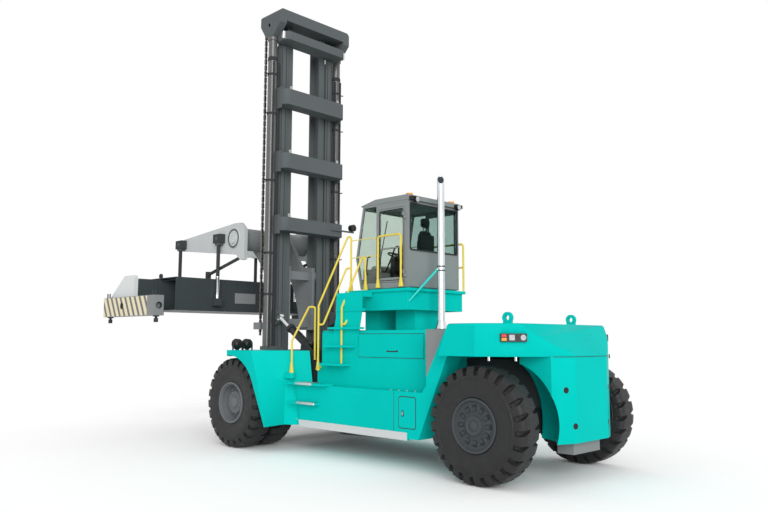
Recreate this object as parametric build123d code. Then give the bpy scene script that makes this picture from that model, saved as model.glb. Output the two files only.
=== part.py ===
from build123d import *
import math
import os

# Laden container handler: a mast truck that lifts loaded containers from above with a telescopic spreader.
# Frame: +X forward, +Y left, +Z up, origin on the ground under the middle of the overall box.
# Places along X are counted from the front axle and moved into the frame by at().

# Play and gaps
PIN_PLAY = 0.5              # radial play of every pin and shaft
EYE_PLAY = 4                # radial play of the tilt rod's eye round the mast's pin
SLIDE_PLAY = 0.5            # gap left under rollers and slide pads
RUN_GAP = 10                # gap between faces that pass each other
STEER_GAP = 15              # room round the sweep of a steered wheel

# Wheels
WHEELBASE = 6200
TYRE_R = 938
TYRE_W = 520
SHOULDER = 75               # slant between tread and side
GROOVES = 24                # grooves round an outer shoulder
GROOVE_W = 46
GROOVE_IN = 190             # reach of a groove over the tread
GROOVE_DOWN = 140           # reach of a groove down the side
RIM_R = 422
RIM_WALL = 30
RIM_INSET = 10
DISC_T = 40
TRACK_FRONT = 1900          # middle of the outer front tyre
DUAL_PITCH = 580            # outer to inner front tyre
FRONT_DISH = 230            # outer front rim's disc behind the rim's edge
INNER_DISH = 60
HUB_R = 235
HUB_OUT = 110
CAP_R = 120
CAP_OUT = 30
DRUM_R = 250
TRACK_REAR = 1545
REAR_DISH = 50
REAR_HUB_R = 150
REAR_HUB_OUT = 45
NAVE_R = 190
SPINDLE_R = 110
REAR_AXLE = -WHEELBASE
REAR_OVERHANG = 1080        # rear axle to the counterweight's rear face
REAR = REAR_AXLE - REAR_OVERHANG

# Axles
AXLE_HALF = 140
AXLE_HALF_H = 240
DIFF_R = 330
YOKE_LOW = 650
YOKE_T = 110
YOKE_HIGH = 1230
KNUCKLE_R = 105
KINGPIN_R = 70
KINGPIN_Y = TRACK_REAR - 230
STEER_BEAM_HALF = 180
STEER_BEAM_LOW = 700
STEER_BEAM_Y = KINGPIN_Y - 355

# Frame
FRAME_Y = TRACK_FRONT - DUAL_PITCH - TYRE_W / 2 - 120   # outer face of the frame plates
FRAME_T = 100
FRAME_BOTTOM = 600
FRAME_TOP = 1250
FRAME_FRONT = 560
FRAME_NOSE = 120
FRAME_REAR = REAR_AXLE + 1200
REAR_FRAME_Y = 480
REAR_FRAME_LOW = 1150
REAR_FRAME_TOP = 1950
REAR_FRAME_END = REAR_AXLE - 300

# Tilt cylinders, places as (x, z)
TILT_BASE = (-1030, 2140)
TILT_EYE = (-30, 2780)
TILT_Y = FRAME_Y - 40
TILT_PIN_R = 40
TILT_BARREL_R = 85
TILT_BOSS_R = 90
TILT_BOSS_HALF = 90
TILT_EYE_R = 80
TILT_EYE_HALF = 52
TILT_ROD_R = 50
TILT_BARREL_L = 740
TILT_ROD_IN = 440
EAR_IN = 100
EAR_OUT = 130
BRACKET_REAR = TILT_BASE[0] - 670
BRACKET_FRONT = TILT_BASE[0] + 70
BRACKET_TOP = 1760

# Mast, measured ahead of the front axle
MAST_REAR = 220
MAST_DEPTH = 470
MAST_PIVOT_X = 360
MAST_PIVOT_R = 80
OUTER_Y = FRAME_Y - FRAME_T - 40                        # outer face of the outer columns
OUTER_W = 195
COLUMN_WALL = 40
OUTER_BOTTOM = 350
MAST_TOP = 10030
CROSSHEAD_H = 260
CROSSHEAD_HALF = 1090
CROSSHEAD_REAR = -90
CROSSHEAD_FRONT = 680
CROSSHEAD_LOW = MAST_TOP - CROSSHEAD_H
CHEEK_TIP = CROSSHEAD_LOW - 350
CHEEK_T = 190
TOP_BEAM_LOW = CROSSHEAD_LOW - 460
TOP_BEAM_H = 200
OUTER_TOP = TOP_BEAM_LOW - 20
INNER_W = 175
INNER_BOTTOM = 620
CROSSBEAM_HALF = 930
CROSSBEAM_DEPTH = 370
CROSSBEAM_ROUND = 140
LOW_BEAM = (1740, 300)      # lower face and height
LIFT_Y = OUTER_Y + 200
LIFT_X = 300
LIFT_BARREL_R = 110
LIFT_ROD_R = 80
LIFT_FOOT_Z = 2120
LIFT_BARREL_TOP = CHEEK_TIP - 520
SHEAVE_R = 140
SHEAVE_X = 425
SHEAVE_Z = CROSSHEAD_LOW - 130
CHAIN_X = 575
CHAIN_HALF = 30
CHAIN_LOW = 2300
CHAIN_GAP = 8
LAMP_ARM_R = 22
LAMP_ARM_IN = -500          # the mast's lamp stands out on the right side only
LAMP_ARM_OUT = -1220
LAMP_ARM_DROP = 160         # arm below the third crossbeam's top
MAST_LAMP_R = 85

# Crossbeams of the outer mast: upper face below the columns' top, height
CROSSBEAMS = [
    (1180, 370),
    (2710, 360),
    (4220, 310),
]

# Carriage and spreader
CARRIAGE_LOW = 2500
CARRIAGE_HIGH = 4000
CARRIAGE_REAR = 330
CARRIAGE_Y = OUTER_Y - OUTER_W - INNER_W - 2 * RUN_GAP  # outer face of the carriage side plates
CARRIAGE_WALL = 80
LIFT_STROKE = CHEEK_TIP - CARRIAGE_HIGH - 220
TUBE_X = 1550
TUBE_Z = 4700
TUBE_R = 270
ARM_Y = 1020                # inner face of the arm plates
ARM_T = 90
BOSS_R = 235
BOSS_OUT = 30
BOSS_HUB_R = 130
HANGER_Y = ARM_Y + 180
HANGER_R = 45
HANGER_HEAD = (4620, 4840)
HANGER_FOOT = 3260          # top of the brackets that the hangers carry the spreader by
STAY_R = 40
SPREADER_X = 3000
SPREADER_HALF_X = 800
SPREADER_HALF_Y = 2270
SPREADER_BOTTOM = 2950
SPREADER_TOP = 3740
SPREADER_WALL = 25
HANGER_REACH = SPREADER_HALF_X + 100
TELE_STROKE = 3070          # from the 20 ft to the 40 ft position at each end
TELE_WALL = 30
LOCK_X = 1129.5             # half of the corner castings' spacing across the container
LOCK_Y = 2926.5             # half of their spacing along a 20 ft container
LOCK_TIP = 2650
LOCK_R = 30
END_BEAM_HALF = 1250
END_BEAM_BOTTOM = 2800
END_BEAM_TOP = 3260
END_BEAM_W = 250
END_Y = LOCK_Y + 128.5      # outer face of the end beams
HOUSING_R = 80

# Body
BOX_Y = TRACK_FRONT - 350
BOX_TOP = 1370
BOX_BOTTOM = 560
BOX_FRONT = -1300
POST_FOOT = REAR_AXLE + 1380
POST_HEAD = REAR_AXLE + 720
SILL_T = 60
SILL_OUT = 20
SILL_H = 140
HOOD_Y = 1150
HOOD_TOP = 2460
HOOD_FRONT = -1800
HOOD_REAR = REAR_AXLE + 1150
HOOD_WALL = 30
HOOD_ROUND = 60
REAR_HOOD_Y = 1800
REAR_HOOD_BOTTOM = 2020
REAR_HOOD_TOP = 2550
REAR_HOOD_ROUND = 45
CURVE_START = REAR_AXLE - 50                            # where the rear hood's side starts to curve
CURVE_MID = (REAR_AXLE - 682, 1243)
REAR_FLAT_Y = 500
SLOPE_TOP = REAR + 500
SLOPE_LOW = REAR_HOOD_BOTTOM + 30
LUG_X = REAR_AXLE - 130
LUG_Y = 1000
LUG_Z = REAR_HOOD_TOP + 100
LUG_R = 95
LUG_BORE = 45
LUG_T = 60
WEIGHT_Y = 930
WEIGHT_BOTTOM = 650
FENDER_Y = TRACK_FRONT + 180
FENDER_IN_Y = TRACK_FRONT - 700
FENDER_TOP = 2040
FENDER_FRONT = 260
ARCH_R = TYRE_R + 122
EXHAUST_X = -4340
EXHAUST_Y = 350
EXHAUST_R = 72
EXHAUST_TOP = 5480
MOUTH_RISE = 1.4            # rise of the exhaust's slanted mouth, which faces back and to the left
BRACE_R = 25

# Sections of the left fender: y, rear end of the top, rear end of the foot
FENDER_SECTIONS = [
    (FENDER_Y, -420, -1050),
    (BOX_Y, -1300, -1630),
    (FENDER_IN_Y, -1430, -1650),
]

# Cab and platform
CAB_Y = 770
CAB_REAR = -3870
CAB_FLOOR = 3290
CAB_WALL = 45
CAB_FRONT_TOP = -2600
CAB_FRONT_LOW = -2540
CAB_KNEE = (-2395, 3930)    # where the windscreen ends and the front turns back
ROOF_BOTTOM = 5000
ROOF_TOP = 5110
BEACON_R = 70
BEACON_H = 35
GLASS_T = 10
WINDOW_EDGE = 95            # frame of the side windows
WINDOW_LOW = 3480
WINDOW_TOP = 4930
WINDOW_POST = -3000         # rear edge of the front side windows
SCREEN_Y = CAB_Y - 70
REAR_WINDOW_Y = CAB_Y - 60
REAR_WINDOW_LOW = 4030
DOOR_FRONT = -3040
DOOR_REAR = -3770
DOOR_BOTTOM = 3400
DOOR_TOP = 4880
DOOR_GAP = 6
DOOR_EDGE = 70
HINGE_OUT = 16              # door hinge axis outside the cab's side
HINGE_R = 14
HINGE_PIN_R = 8
HINGE_HALF = 70
HINGE_Z = (3560, 4700)
HOOP_Y = CAB_Y + 60
HOOP_TOP = 4330
DECK_TOP = 3270
DECK_T = 60
DECK_FRONT = -2180
DECK_REAR = -3970
DECK_Y = 870
APRON_BOTTOM = 2850
APRON_IN = 60
APRON_T = 25
TREAD_T = 40
STRINGER_Y = HOOD_Y
STRINGER_T = 30
RAIL_R = 21
RAIL_SIDES = 8
GATE_R = 9
DECK_RAIL_Y = DECK_Y - 30
EAR_RAIL_Y = TILT_Y + EAR_OUT + RAIL_R
STEP_Z = 1600               # top of the rail's foot on the fender

# Treads of the left stair: height, front end, rear end, inner edge, outer edge
TREADS = [
    (1030, -1300, -2220, BOX_Y, BOX_Y + 140),
    (1410, -1300, -2470, BOX_Y - 120, BOX_Y + 140),
    (1800, -1990, -2700, STRINGER_Y, STRINGER_Y + 250),
    (2160, -2000, -2860, STRINGER_Y, STRINGER_Y + 170),
    (2520, -2110, -3050, STRINGER_Y, STRINGER_Y + 130),
    (2880, -2270, -3080, STRINGER_Y, STRINGER_Y + 50),
]

# Hand rails of the left side: points (x, y, z) and bend radius
RAILS = [
    ([(-1390, 1610, STEP_Z), (-1380, 1610, 2250), (-1360, 1150, 2960), (-1440, EAR_RAIL_Y, 2960),
      (-1450, EAR_RAIL_Y, 1850)], 40),
    ([(-1790, 1250, 1640), (-1790, 1250, 2970), (-2210, DECK_RAIL_Y, 4400), (-2320, DECK_RAIL_Y, 4400),
      (-2325, DECK_RAIL_Y, DECK_TOP)], 50),
    ([(-1790, 1250, 2580), (-1930, 1240, 2580), (-2200, DECK_RAIL_Y + 20, 3740),
      (-2325, DECK_RAIL_Y, 3745)], 50),
    ([(-2470, 1220, 1800), (-2470, 1220, 2920), (-2640, DECK_RAIL_Y, 3920), (-2750, DECK_RAIL_Y, 3920),
      (-2755, DECK_RAIL_Y, DECK_TOP)], 45),
    ([(-2470, 1220, 2580), (-2560, 1215, 2580), (-2640, DECK_Y, 3150), (-2660, DECK_Y - 30, 3160)], 15),
]
GATE_BARS = (3950, 4310)    # heights of the thin bars across the stair's head

FRONT_AXLE_X = (WHEELBASE + REAR_OVERHANG - SPREADER_X - END_BEAM_HALF) / 2
MAST_FRONT = MAST_REAR + MAST_DEPTH
MAST_MID = MAST_REAR + MAST_DEPTH / 2
INNER_OUT = OUTER_Y - OUTER_W - RUN_GAP                 # outer face of the inner columns
STEER_SWEEP = math.hypot(TYRE_R, TRACK_REAR + TYRE_W / 2 - KINGPIN_Y) + STEER_GAP

SIDES = {"left": 1, "right": -1}


def at(x):
    """Place along X of a point counted from the front axle."""
    return FRONT_AXLE_X + x


def block(x0, x1, y0, y1, z0, z1):
    """Block between two corners, x counted from the front axle."""
    middle = Pos((at(x0) + at(x1)) / 2, (y0 + y1) / 2, (z0 + z1) / 2)
    return middle * Box(abs(x1 - x0), abs(y1 - y0), abs(z1 - z0))


def line(points):
    """Open line through (x, other) points, x counted from the front axle."""
    return Polyline(*[(at(x), other) for x, other in points])


def arc(start, middle, end):
    """Arc through three (x, other) points, x counted from the front axle."""
    return ThreePointArc(*[(at(x), other) for x, other in (start, middle, end)])


def side_plane(y):
    """Plane across Y in which a side outline is drawn as (x, z)."""
    return Plane((0, y, 0), x_dir=(1, 0, 0), z_dir=(0, -1, 0))


def plate(face, y0, y1):
    """Plate with a side outline, from y0 to y1."""
    return extrude(side_plane(max(y0, y1)) * face, abs(y1 - y0))


def profile(points, y0, y1):
    """Plate with a side outline of (x, z) points, from y0 to y1."""
    return plate(make_face(line(points + points[:1])), y0, y1)


def rod_y(x, z, radius, y0, y1):
    """Cylinder along Y."""
    return Pos(at(x), (y0 + y1) / 2, z) * Rot(90, 0, 0) * Cylinder(radius, abs(y1 - y0))


def rod_z(x, y, radius, z0, z1):
    """Cylinder along Z."""
    return Pos(at(x), y, (z0 + z1) / 2) * Cylinder(radius, z1 - z0)


def rod_x(x0, x1, y, z, radius):
    """Cylinder along X."""
    return Pos((at(x0) + at(x1)) / 2, y, z) * Rot(0, 90, 0) * Cylinder(radius, abs(x1 - x0))


def bar(start, end, radius):
    """Straight round bar between two points (x, y, z)."""
    first = Vector(at(start[0]), *start[1:])
    run = Vector(at(end[0]), *end[1:]) - first
    return extrude(Plane(first, z_dir=run) * Circle(radius), run.length)


def tube(points, radius, bend):
    """Hand rail bent along points (x, y, z)."""
    path = FilletPolyline(*[(at(x), y, z) for x, y, z in points], radius=bend)
    start = Plane(path @ 0, z_dir=path % 0)
    return sweep(start * RegularPolygon(radius, RAIL_SIDES), path)


def both(piece):
    """A piece of the left side with its mirror image."""
    return piece + mirror(piece, Plane.XZ)


def save(name, piece):
    """One STEP file for one piece."""
    export_step(piece, os.path.join("parts", name + ".step"))


# Wheels, made round the front axle's line at height zero

def tyre(grooved):
    """Tyre with slanted shoulders, its middle at zero, grooved in the outer shoulder if that shows."""
    half = TYRE_W / 2
    section = make_face(Polyline(
        (RIM_R, -half), (TYRE_R - SHOULDER, -half), (TYRE_R, SHOULDER - half), (TYRE_R, half - SHOULDER),
        (TYRE_R - SHOULDER, half), (RIM_R, half), close=True))
    body = revolve(section, Axis.Y)
    if not grooved:
        return body
    corner = [(half - GROOVE_IN, TYRE_R + 1), (half + 1, TYRE_R - GROOVE_DOWN),
              (half + SHOULDER, TYRE_R + SHOULDER)]
    wedge = extrude(Plane.YZ * make_face(Polyline(*corner, close=True)), GROOVE_W / 2, both=True)
    return body.cut(*[Rot(0, k * 360 / GROOVES, 0) * wedge for k in range(GROOVES)])


def disc(radius, y0, y1):
    """Disc round the wheel's axis."""
    return rod_y(-FRONT_AXLE_X, 0, radius, y0, y1)


def rim(y, dish, hub_r, hub_out):
    """Rim for one tyre: barrel, disc set back by dish from its outer edge, and a hub boss."""
    half = TYRE_W / 2 - RIM_INSET
    barrel = disc(RIM_R, y - half, y + half) - disc(RIM_R - RIM_WALL, y - half, y + half)
    face = y + half - dish
    return barrel + disc(RIM_R - RIM_WALL + 1, face - DISC_T, face) + disc(hub_r, face, face + hub_out)


def front_wheels():
    """Twin front tyres and their rims with the hub drum, left and right."""
    inner_y = TRACK_FRONT - DUAL_PITCH
    tyres = Pos(0, TRACK_FRONT, 0) * tyre(True) + Pos(0, inner_y, 0) * tyre(False)
    drum_in = inner_y - TYRE_W / 2 + 20
    hub_face = TRACK_FRONT + TYRE_W / 2 - RIM_INSET - FRONT_DISH + HUB_OUT
    rims = rim(TRACK_FRONT, FRONT_DISH, HUB_R, HUB_OUT)
    rims += rim(inner_y, INNER_DISH, DRUM_R, DISC_T)
    rims += disc(DRUM_R, drum_in, TRACK_FRONT) + disc(CAP_R, hub_face, hub_face + CAP_OUT)
    rims -= disc(SPINDLE_R + PIN_PLAY, drum_in, TRACK_FRONT - 150)
    place = Pos(FRONT_AXLE_X, 0, TYRE_R)
    for side, sign in SIDES.items():
        for name, piece in (("front_tyres", tyres), ("front_rims", rims)):
            turned = piece if sign > 0 else mirror(piece, Plane.XZ)
            save(f"{name}_{side}", place * turned)


def rear_wheels():
    """Steered rear tyres and rims, left and right."""
    tread = Pos(0, TRACK_REAR, 0) * tyre(True)
    half = TYRE_W / 2
    nave_in = KINGPIN_Y + KNUCKLE_R + RUN_GAP
    wheel = rim(TRACK_REAR, REAR_DISH, REAR_HUB_R, REAR_HUB_OUT)
    wheel += disc(NAVE_R, nave_in, TRACK_REAR + half - 60)
    wheel -= disc(SPINDLE_R + PIN_PLAY, nave_in, TRACK_REAR + half - 120)
    place = Pos(at(REAR_AXLE), 0, TYRE_R)
    for side, sign in SIDES.items():
        for name, piece in (("rear_tyre", tread), ("rear_rim", wheel)):
            turned = piece if sign > 0 else mirror(piece, Plane.XZ)
            save(f"{name}_{side}", place * turned)


# Axles and frame

def drive_axle():
    """Housing with its round middle and the spindles that carry the twin wheels."""
    end = FRAME_Y + 60
    beam = block(-AXLE_HALF, AXLE_HALF, -end, end, TYRE_R - AXLE_HALF_H, TYRE_R + AXLE_HALF_H)
    middle = Pos(at(-AXLE_HALF / 2), 0, TYRE_R) * Sphere(DIFF_R)
    return beam + middle + both(rod_y(0, TYRE_R, SPINDLE_R, FRAME_Y, TRACK_FRONT - 160))


def frame(axle):
    """Side plates with the mast eyes, closed box between them, rear box and tilt-cylinder brackets."""
    inside = FRAME_Y - FRAME_T
    belly = FRAME_BOTTOM - 40
    side = profile(
        [(FRAME_FRONT, FRAME_BOTTOM + FRAME_NOSE), (FRAME_FRONT, FRAME_TOP - FRAME_NOSE),
         (FRAME_FRONT - FRAME_NOSE, FRAME_TOP),
         (FRAME_REAR, FRAME_TOP), (FRAME_REAR, FRAME_BOTTOM), (-400, FRAME_BOTTOM), (-300, belly),
         (FRAME_FRONT - FRAME_NOSE, belly)],
        inside, FRAME_Y)
    side -= rod_y(MAST_PIVOT_X, TYRE_R, MAST_PIVOT_R + PIN_PLAY, inside, FRAME_Y)
    side += block(BRACKET_REAR, BRACKET_FRONT, TILT_Y - EAR_OUT, TILT_Y + EAR_OUT, FRAME_TOP, BRACKET_TOP)
    base_x, base_z = TILT_BASE
    ear = [(BRACKET_REAR, BRACKET_TOP - 10), (base_x - 70, base_z + 90), (base_x + 70, base_z + 90),
           (base_x + 90, base_z - 80),
           (BRACKET_FRONT, BRACKET_TOP - 10)]
    side += profile(ear, TILT_Y - EAR_OUT, TILT_Y - EAR_IN)
    side += profile(ear, TILT_Y + EAR_IN, TILT_Y + EAR_OUT)
    side -= rod_y(base_x, base_z, TILT_PIN_R + PIN_PLAY, TILT_Y - EAR_OUT, TILT_Y + EAR_OUT)
    body = both(side)
    body += block(FRAME_REAR, -700, -inside, inside, FRAME_BOTTOM, FRAME_TOP)
    body += block(REAR_FRAME_END, FRAME_REAR + 40, -REAR_FRAME_Y, REAR_FRAME_Y, REAR_FRAME_LOW,
                  REAR_FRAME_TOP)
    return body - axle


def steer_axle():
    """Beam under the rear box with the yokes round the kingpins."""
    beam = block(REAR_AXLE - STEER_BEAM_HALF, REAR_AXLE + STEER_BEAM_HALF, -STEER_BEAM_Y, STEER_BEAM_Y,
                 STEER_BEAM_LOW, REAR_FRAME_LOW)
    arm = block(REAR_AXLE - KNUCKLE_R, REAR_AXLE + KNUCKLE_R, STEER_BEAM_Y - 20, KINGPIN_Y, YOKE_LOW,
                YOKE_HIGH)
    arm += rod_z(REAR_AXLE, KINGPIN_Y, KNUCKLE_R, YOKE_LOW, YOKE_HIGH)
    notch = KINGPIN_Y - KNUCKLE_R - 70
    arm -= block(REAR_AXLE - 2 * KNUCKLE_R, REAR_AXLE + 2 * KNUCKLE_R, notch, KINGPIN_Y + 2 * KNUCKLE_R,
                 YOKE_LOW + YOKE_T, YOKE_HIGH - YOKE_T)
    arm -= rod_z(REAR_AXLE, KINGPIN_Y, KINGPIN_R + PIN_PLAY, YOKE_LOW, YOKE_HIGH)
    return beam + both(arm)


def knuckle():
    """Left steering knuckle: kingpin, body and spindle."""
    low, high = YOKE_LOW + YOKE_T + RUN_GAP, YOKE_HIGH - YOKE_T - RUN_GAP
    pin = rod_z(REAR_AXLE, KINGPIN_Y, KINGPIN_R, YOKE_LOW, YOKE_HIGH)
    body = rod_z(REAR_AXLE, KINGPIN_Y, KNUCKLE_R, low, high)
    return pin + body + rod_y(REAR_AXLE, TYRE_R, SPINDLE_R, KINGPIN_Y, TRACK_REAR + TYRE_W / 2 - 130)


# Body

def fender():
    """Left front fender: slanted rear wall over the twin wheels' arch, with the foot of a hand rail."""
    low = BOX_BOTTOM - 30
    faces = []
    for y, rear_top, rear_low in FENDER_SECTIONS:
        corners = [(FENDER_FRONT, FENDER_TOP), (rear_top, FENDER_TOP), (rear_low, low), (-900, low),
                   (FENDER_FRONT, FENDER_TOP - 340)]
        faces.append(side_plane(y) * make_face(line(corners + corners[:1])))
    wing = loft(faces, ruled=True)
    wing += block(-1440, -1250, 1570, 1650, STEP_Z - 130, STEP_Z)
    wing -= rod_y(0, TYRE_R, ARCH_R, FENDER_IN_Y - 50, FENDER_Y + 50)
    return wing + block(-1440, -1130, FRAME_Y, FENDER_IN_Y, 700, FRAME_TOP)


def steer_room():
    """Room that the left rear wheel sweeps while it is steered."""
    ball = Pos(at(REAR_AXLE), KINGPIN_Y, TYRE_R) * Sphere(STEER_SWEEP)
    lid = TYRE_R * 2 + STEER_GAP * 2
    return ball - block(REAR_AXLE - 2 * TYRE_R, REAR_AXLE + 2 * TYRE_R, -REAR_HOOD_Y, 2 * REAR_HOOD_Y, lid,
                        2 * lid)


def side_box():
    """Left lower box with the ledge, the sill strip and the post ahead of the rear wheel arch."""
    root = HOOD_REAR + 50
    body = profile(
        [(BOX_FRONT, BOX_BOTTOM), (POST_FOOT, BOX_BOTTOM), (POST_HEAD, REAR_HOOD_BOTTOM),
         (POST_HEAD, HOOD_TOP), (root, HOOD_TOP),
         (root, BOX_TOP + 130), (root + 100, BOX_TOP), (BOX_FRONT, BOX_TOP)],
        FRAME_Y, BOX_Y)
    body -= block(FRAME_REAR - 100, POST_HEAD - 100, FRAME_Y, HOOD_Y, 0, REAR_HOOD_BOTTOM)
    body -= block(POST_HEAD - 100, root + 200, FRAME_Y, HOOD_Y, BOX_TOP, HOOD_TOP)
    body += block(POST_FOOT + 250, BOX_FRONT, BOX_Y - SILL_T, BOX_Y + SILL_OUT, BOX_BOTTOM - 30,
                  BOX_BOTTOM - 30 + SILL_H)
    return body - steer_room()


def mid_hood():
    """Cover over the engine, open below."""
    outer = block(HOOD_REAR, HOOD_FRONT, -HOOD_Y, HOOD_Y, BOX_TOP, HOOD_TOP)
    outer = fillet(outer.edges().filter_by(Axis.X).group_by(Axis.Z)[-1], HOOD_ROUND)
    return outer - block(HOOD_REAR + HOOD_WALL, HOOD_FRONT - HOOD_WALL, -HOOD_Y + HOOD_WALL,
                         HOOD_Y - HOOD_WALL,
                         BOX_TOP, HOOD_TOP - HOOD_WALL)


def engine():
    """Engine and gearbox as one plain block on the frame's cross members."""
    return block(HOOD_REAR + 350, HOOD_FRONT - 500, -450, 450, FRAME_TOP, HOOD_TOP - 360)


def rear_curve():
    """Left curve of the rear end's plan."""
    return arc((CURVE_START, REAR_HOOD_Y), CURVE_MID, (REAR, REAR_FLAT_Y))


def rear_plan(front, low, high):
    """Rear end with its curved corners, from a front face to the rear one."""
    outline = line([(CURVE_START, -REAR_HOOD_Y), (front, -REAR_HOOD_Y), (front, REAR_HOOD_Y),
                    (CURVE_START, REAR_HOOD_Y)])
    outline += rear_curve() + line([(REAR, REAR_FLAT_Y), (REAR, -REAR_FLAT_Y)])
    outline += mirror(rear_curve(), Plane.XZ)
    return extrude(Plane((0, 0, low)) * make_face(outline), high - low)


def rear_hood():
    """Wide cover over the rear wheels and counterweight, with the lifting lugs."""
    shape = rear_plan(POST_HEAD, REAR_HOOD_BOTTOM, REAR_HOOD_TOP)
    run = (REAR_HOOD_TOP - SLOPE_LOW) / (SLOPE_TOP - REAR)
    shape -= profile([(SLOPE_TOP, REAR_HOOD_TOP), (REAR - 100, SLOPE_LOW - 100 * run),
                      (REAR - 100, REAR_HOOD_TOP)],
                     -REAR_HOOD_Y, REAR_HOOD_Y)
    shape -= both(profile([(POST_HEAD, REAR_HOOD_BOTTOM), (POST_HEAD - 220, REAR_HOOD_TOP),
                           (POST_HEAD, REAR_HOOD_TOP)],
                          HOOD_Y, REAR_HOOD_Y))
    rim_edges = shape.edges().filter_by_position(Axis.Z, REAR_HOOD_TOP - 1, REAR_HOOD_TOP + 1)
    outer = [e for e in rim_edges
             if abs(e.center().Y) > HOOD_Y or abs(e.center().Y) < 1 and e.center().X < at(REAR_AXLE)]
    shape = fillet(outer, REAR_HOOD_ROUND)
    shape += block(POST_HEAD, HOOD_REAR, -HOOD_Y, HOOD_Y, REAR_HOOD_BOTTOM, HOOD_TOP)
    lug = rod_y(LUG_X, LUG_Z, LUG_R, LUG_Y - LUG_T / 2, LUG_Y + LUG_T / 2)
    lug += block(LUG_X - 80, LUG_X + 80, LUG_Y - LUG_T / 2, LUG_Y + LUG_T / 2, REAR_HOOD_TOP - 50, LUG_Z)
    lug -= rod_y(LUG_X, LUG_Z, LUG_BORE, LUG_Y - LUG_T, LUG_Y + LUG_T)
    return shape + both(lug)


def counterweight():
    """Cast weight behind the steer axle, hollowed for the swing of the wheels, with the tow block."""
    body = rear_plan(REAR_FRAME_END, WEIGHT_BOTTOM, REAR_HOOD_BOTTOM)
    body &= block(REAR, REAR_FRAME_END, -WEIGHT_Y, WEIGHT_Y, WEIGHT_BOTTOM, REAR_HOOD_BOTTOM)
    body -= both(steer_room())
    return body + block(REAR + 120, REAR + 420, -420, 420, WEIGHT_BOTTOM - 200, WEIGHT_BOTTOM)


def exhaust(deck):
    """Upright exhaust with a cone at its foot, a slanted mouth and the brace to the platform's apron."""
    pipe = rod_z(EXHAUST_X, EXHAUST_Y, EXHAUST_R, HOOD_TOP, EXHAUST_TOP)
    pipe += Pos(at(EXHAUST_X), EXHAUST_Y, HOOD_TOP + 90) * Cone(EXHAUST_R + 58, EXHAUST_R, 180)
    pipe += bar((DECK_REAR + 75, DECK_Y - 90, 3010), (EXHAUST_X + 40, EXHAUST_Y + 40, 3640), BRACE_R)
    pipe -= rod_z(EXHAUST_X, EXHAUST_Y, EXHAUST_R - 12, EXHAUST_TOP - 580, EXHAUST_TOP)
    mouth = Plane((at(EXHAUST_X), EXHAUST_Y, EXHAUST_TOP - MOUTH_RISE * EXHAUST_R),
                  z_dir=(-MOUTH_RISE * math.sqrt(0.5), MOUTH_RISE * math.sqrt(0.5), 1))
    pipe -= mouth * Pos(0, 0, EXHAUST_R * 3) * Box(EXHAUST_R * 6, EXHAUST_R * 6, EXHAUST_R * 6)
    pipe -= deck
    return pipe.solids().sort_by(SortBy.VOLUME)[-1]


# Cab, platform and stairs

def platform():
    """Deck with its aprons and the pedestals that stand on the hood."""
    low, high = APRON_BOTTOM, DECK_TOP - DECK_T
    outer_y = DECK_Y - 40
    shape = block(DECK_REAR, DECK_FRONT, -DECK_Y, DECK_Y, high, DECK_TOP)
    skirt = block(DECK_REAR + APRON_IN, DECK_FRONT - APRON_IN, -outer_y, outer_y, low, high)
    skirt -= block(DECK_REAR + APRON_IN + APRON_T, DECK_FRONT - APRON_IN - APRON_T, -outer_y + APRON_T,
                   outer_y - APRON_T, low, high)
    shape += skirt
    for rear, front in ((-3720, -3180), (-2700, -2300)):
        shape += block(rear, front, -400, 400, HOOD_TOP, high)
    return shape


def stair():
    """Left stair: two treads on the side box and four on a stringer beside the hood."""
    high = DECK_TOP - DECK_T
    steps = profile([(-1700, BOX_TOP), (-1700, 1750), (-2020, 1850), (-2250, 2700), (-2270, high),
                     (-3000, high), (-3000, APRON_BOTTOM),
                     (-2700, BOX_TOP)], STRINGER_Y, STRINGER_Y + STRINGER_T)
    for height, front, rear, inner, outer in TREADS:
        steps += block(rear, front, inner, outer, height - TREAD_T, height)
    for x in (-2400, -2980):
        steps += block(x, x + 100, DECK_Y, STRINGER_Y, high - 90, high)
    return steps


def rails():
    """Yellow hand rails of both stairs, the bars across their heads and the rail beside the cab."""
    bars = Part()
    for points, bend in RAILS:
        bars += tube(points, RAIL_R, bend)
    for z in GATE_BARS:
        bars += tube([(-2325, DECK_RAIL_Y, z), (WINDOW_POST - 20, DECK_RAIL_Y, z),
                      (WINDOW_POST - 20, CAB_Y, z)], GATE_R, 30)
    bars += block(-1465, -1435, TILT_Y + EAR_OUT, EAR_RAIL_Y, 1850, 1900)
    bars += block(-1805, -1775, STRINGER_Y + STRINGER_T, 1250, 1690, 1740)
    bars = both(bars)
    bars += tube([(DECK_REAR + 30, -DECK_RAIL_Y, DECK_TOP), (DECK_REAR + 30, -DECK_RAIL_Y, 4260),
                  (DOOR_FRONT - 40, -DECK_RAIL_Y, 4260),
                  (DOOR_FRONT - 40, -DECK_RAIL_Y, DECK_TOP)], RAIL_R, 60)
    return bars + bar((DECK_REAR + 30, -DECK_RAIL_Y, 3770), (DOOR_FRONT - 40, -DECK_RAIL_Y, 3770),
                      RAIL_R - 3)


def cab_face(inset):
    """Side outline of the cab moved inwards by an amount, drawn as (x, z)."""
    low = (CAB_FRONT_LOW, CAB_FLOOR)
    face = make_face(line([low, (CAB_REAR, CAB_FLOOR), (CAB_REAR, ROOF_BOTTOM),
                           (CAB_FRONT_TOP, ROOF_BOTTOM), CAB_KNEE, low]))
    return offset(face, amount=-inset, kind=Kind.INTERSECTION) if inset else face


def screen_room():
    """Room of the windscreen in the cab's front wall."""
    return block(CAB_FRONT_LOW - 300, CAB_KNEE[0] + 100, -SCREEN_Y, SCREEN_Y, WINDOW_LOW, WINDOW_TOP)


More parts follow.
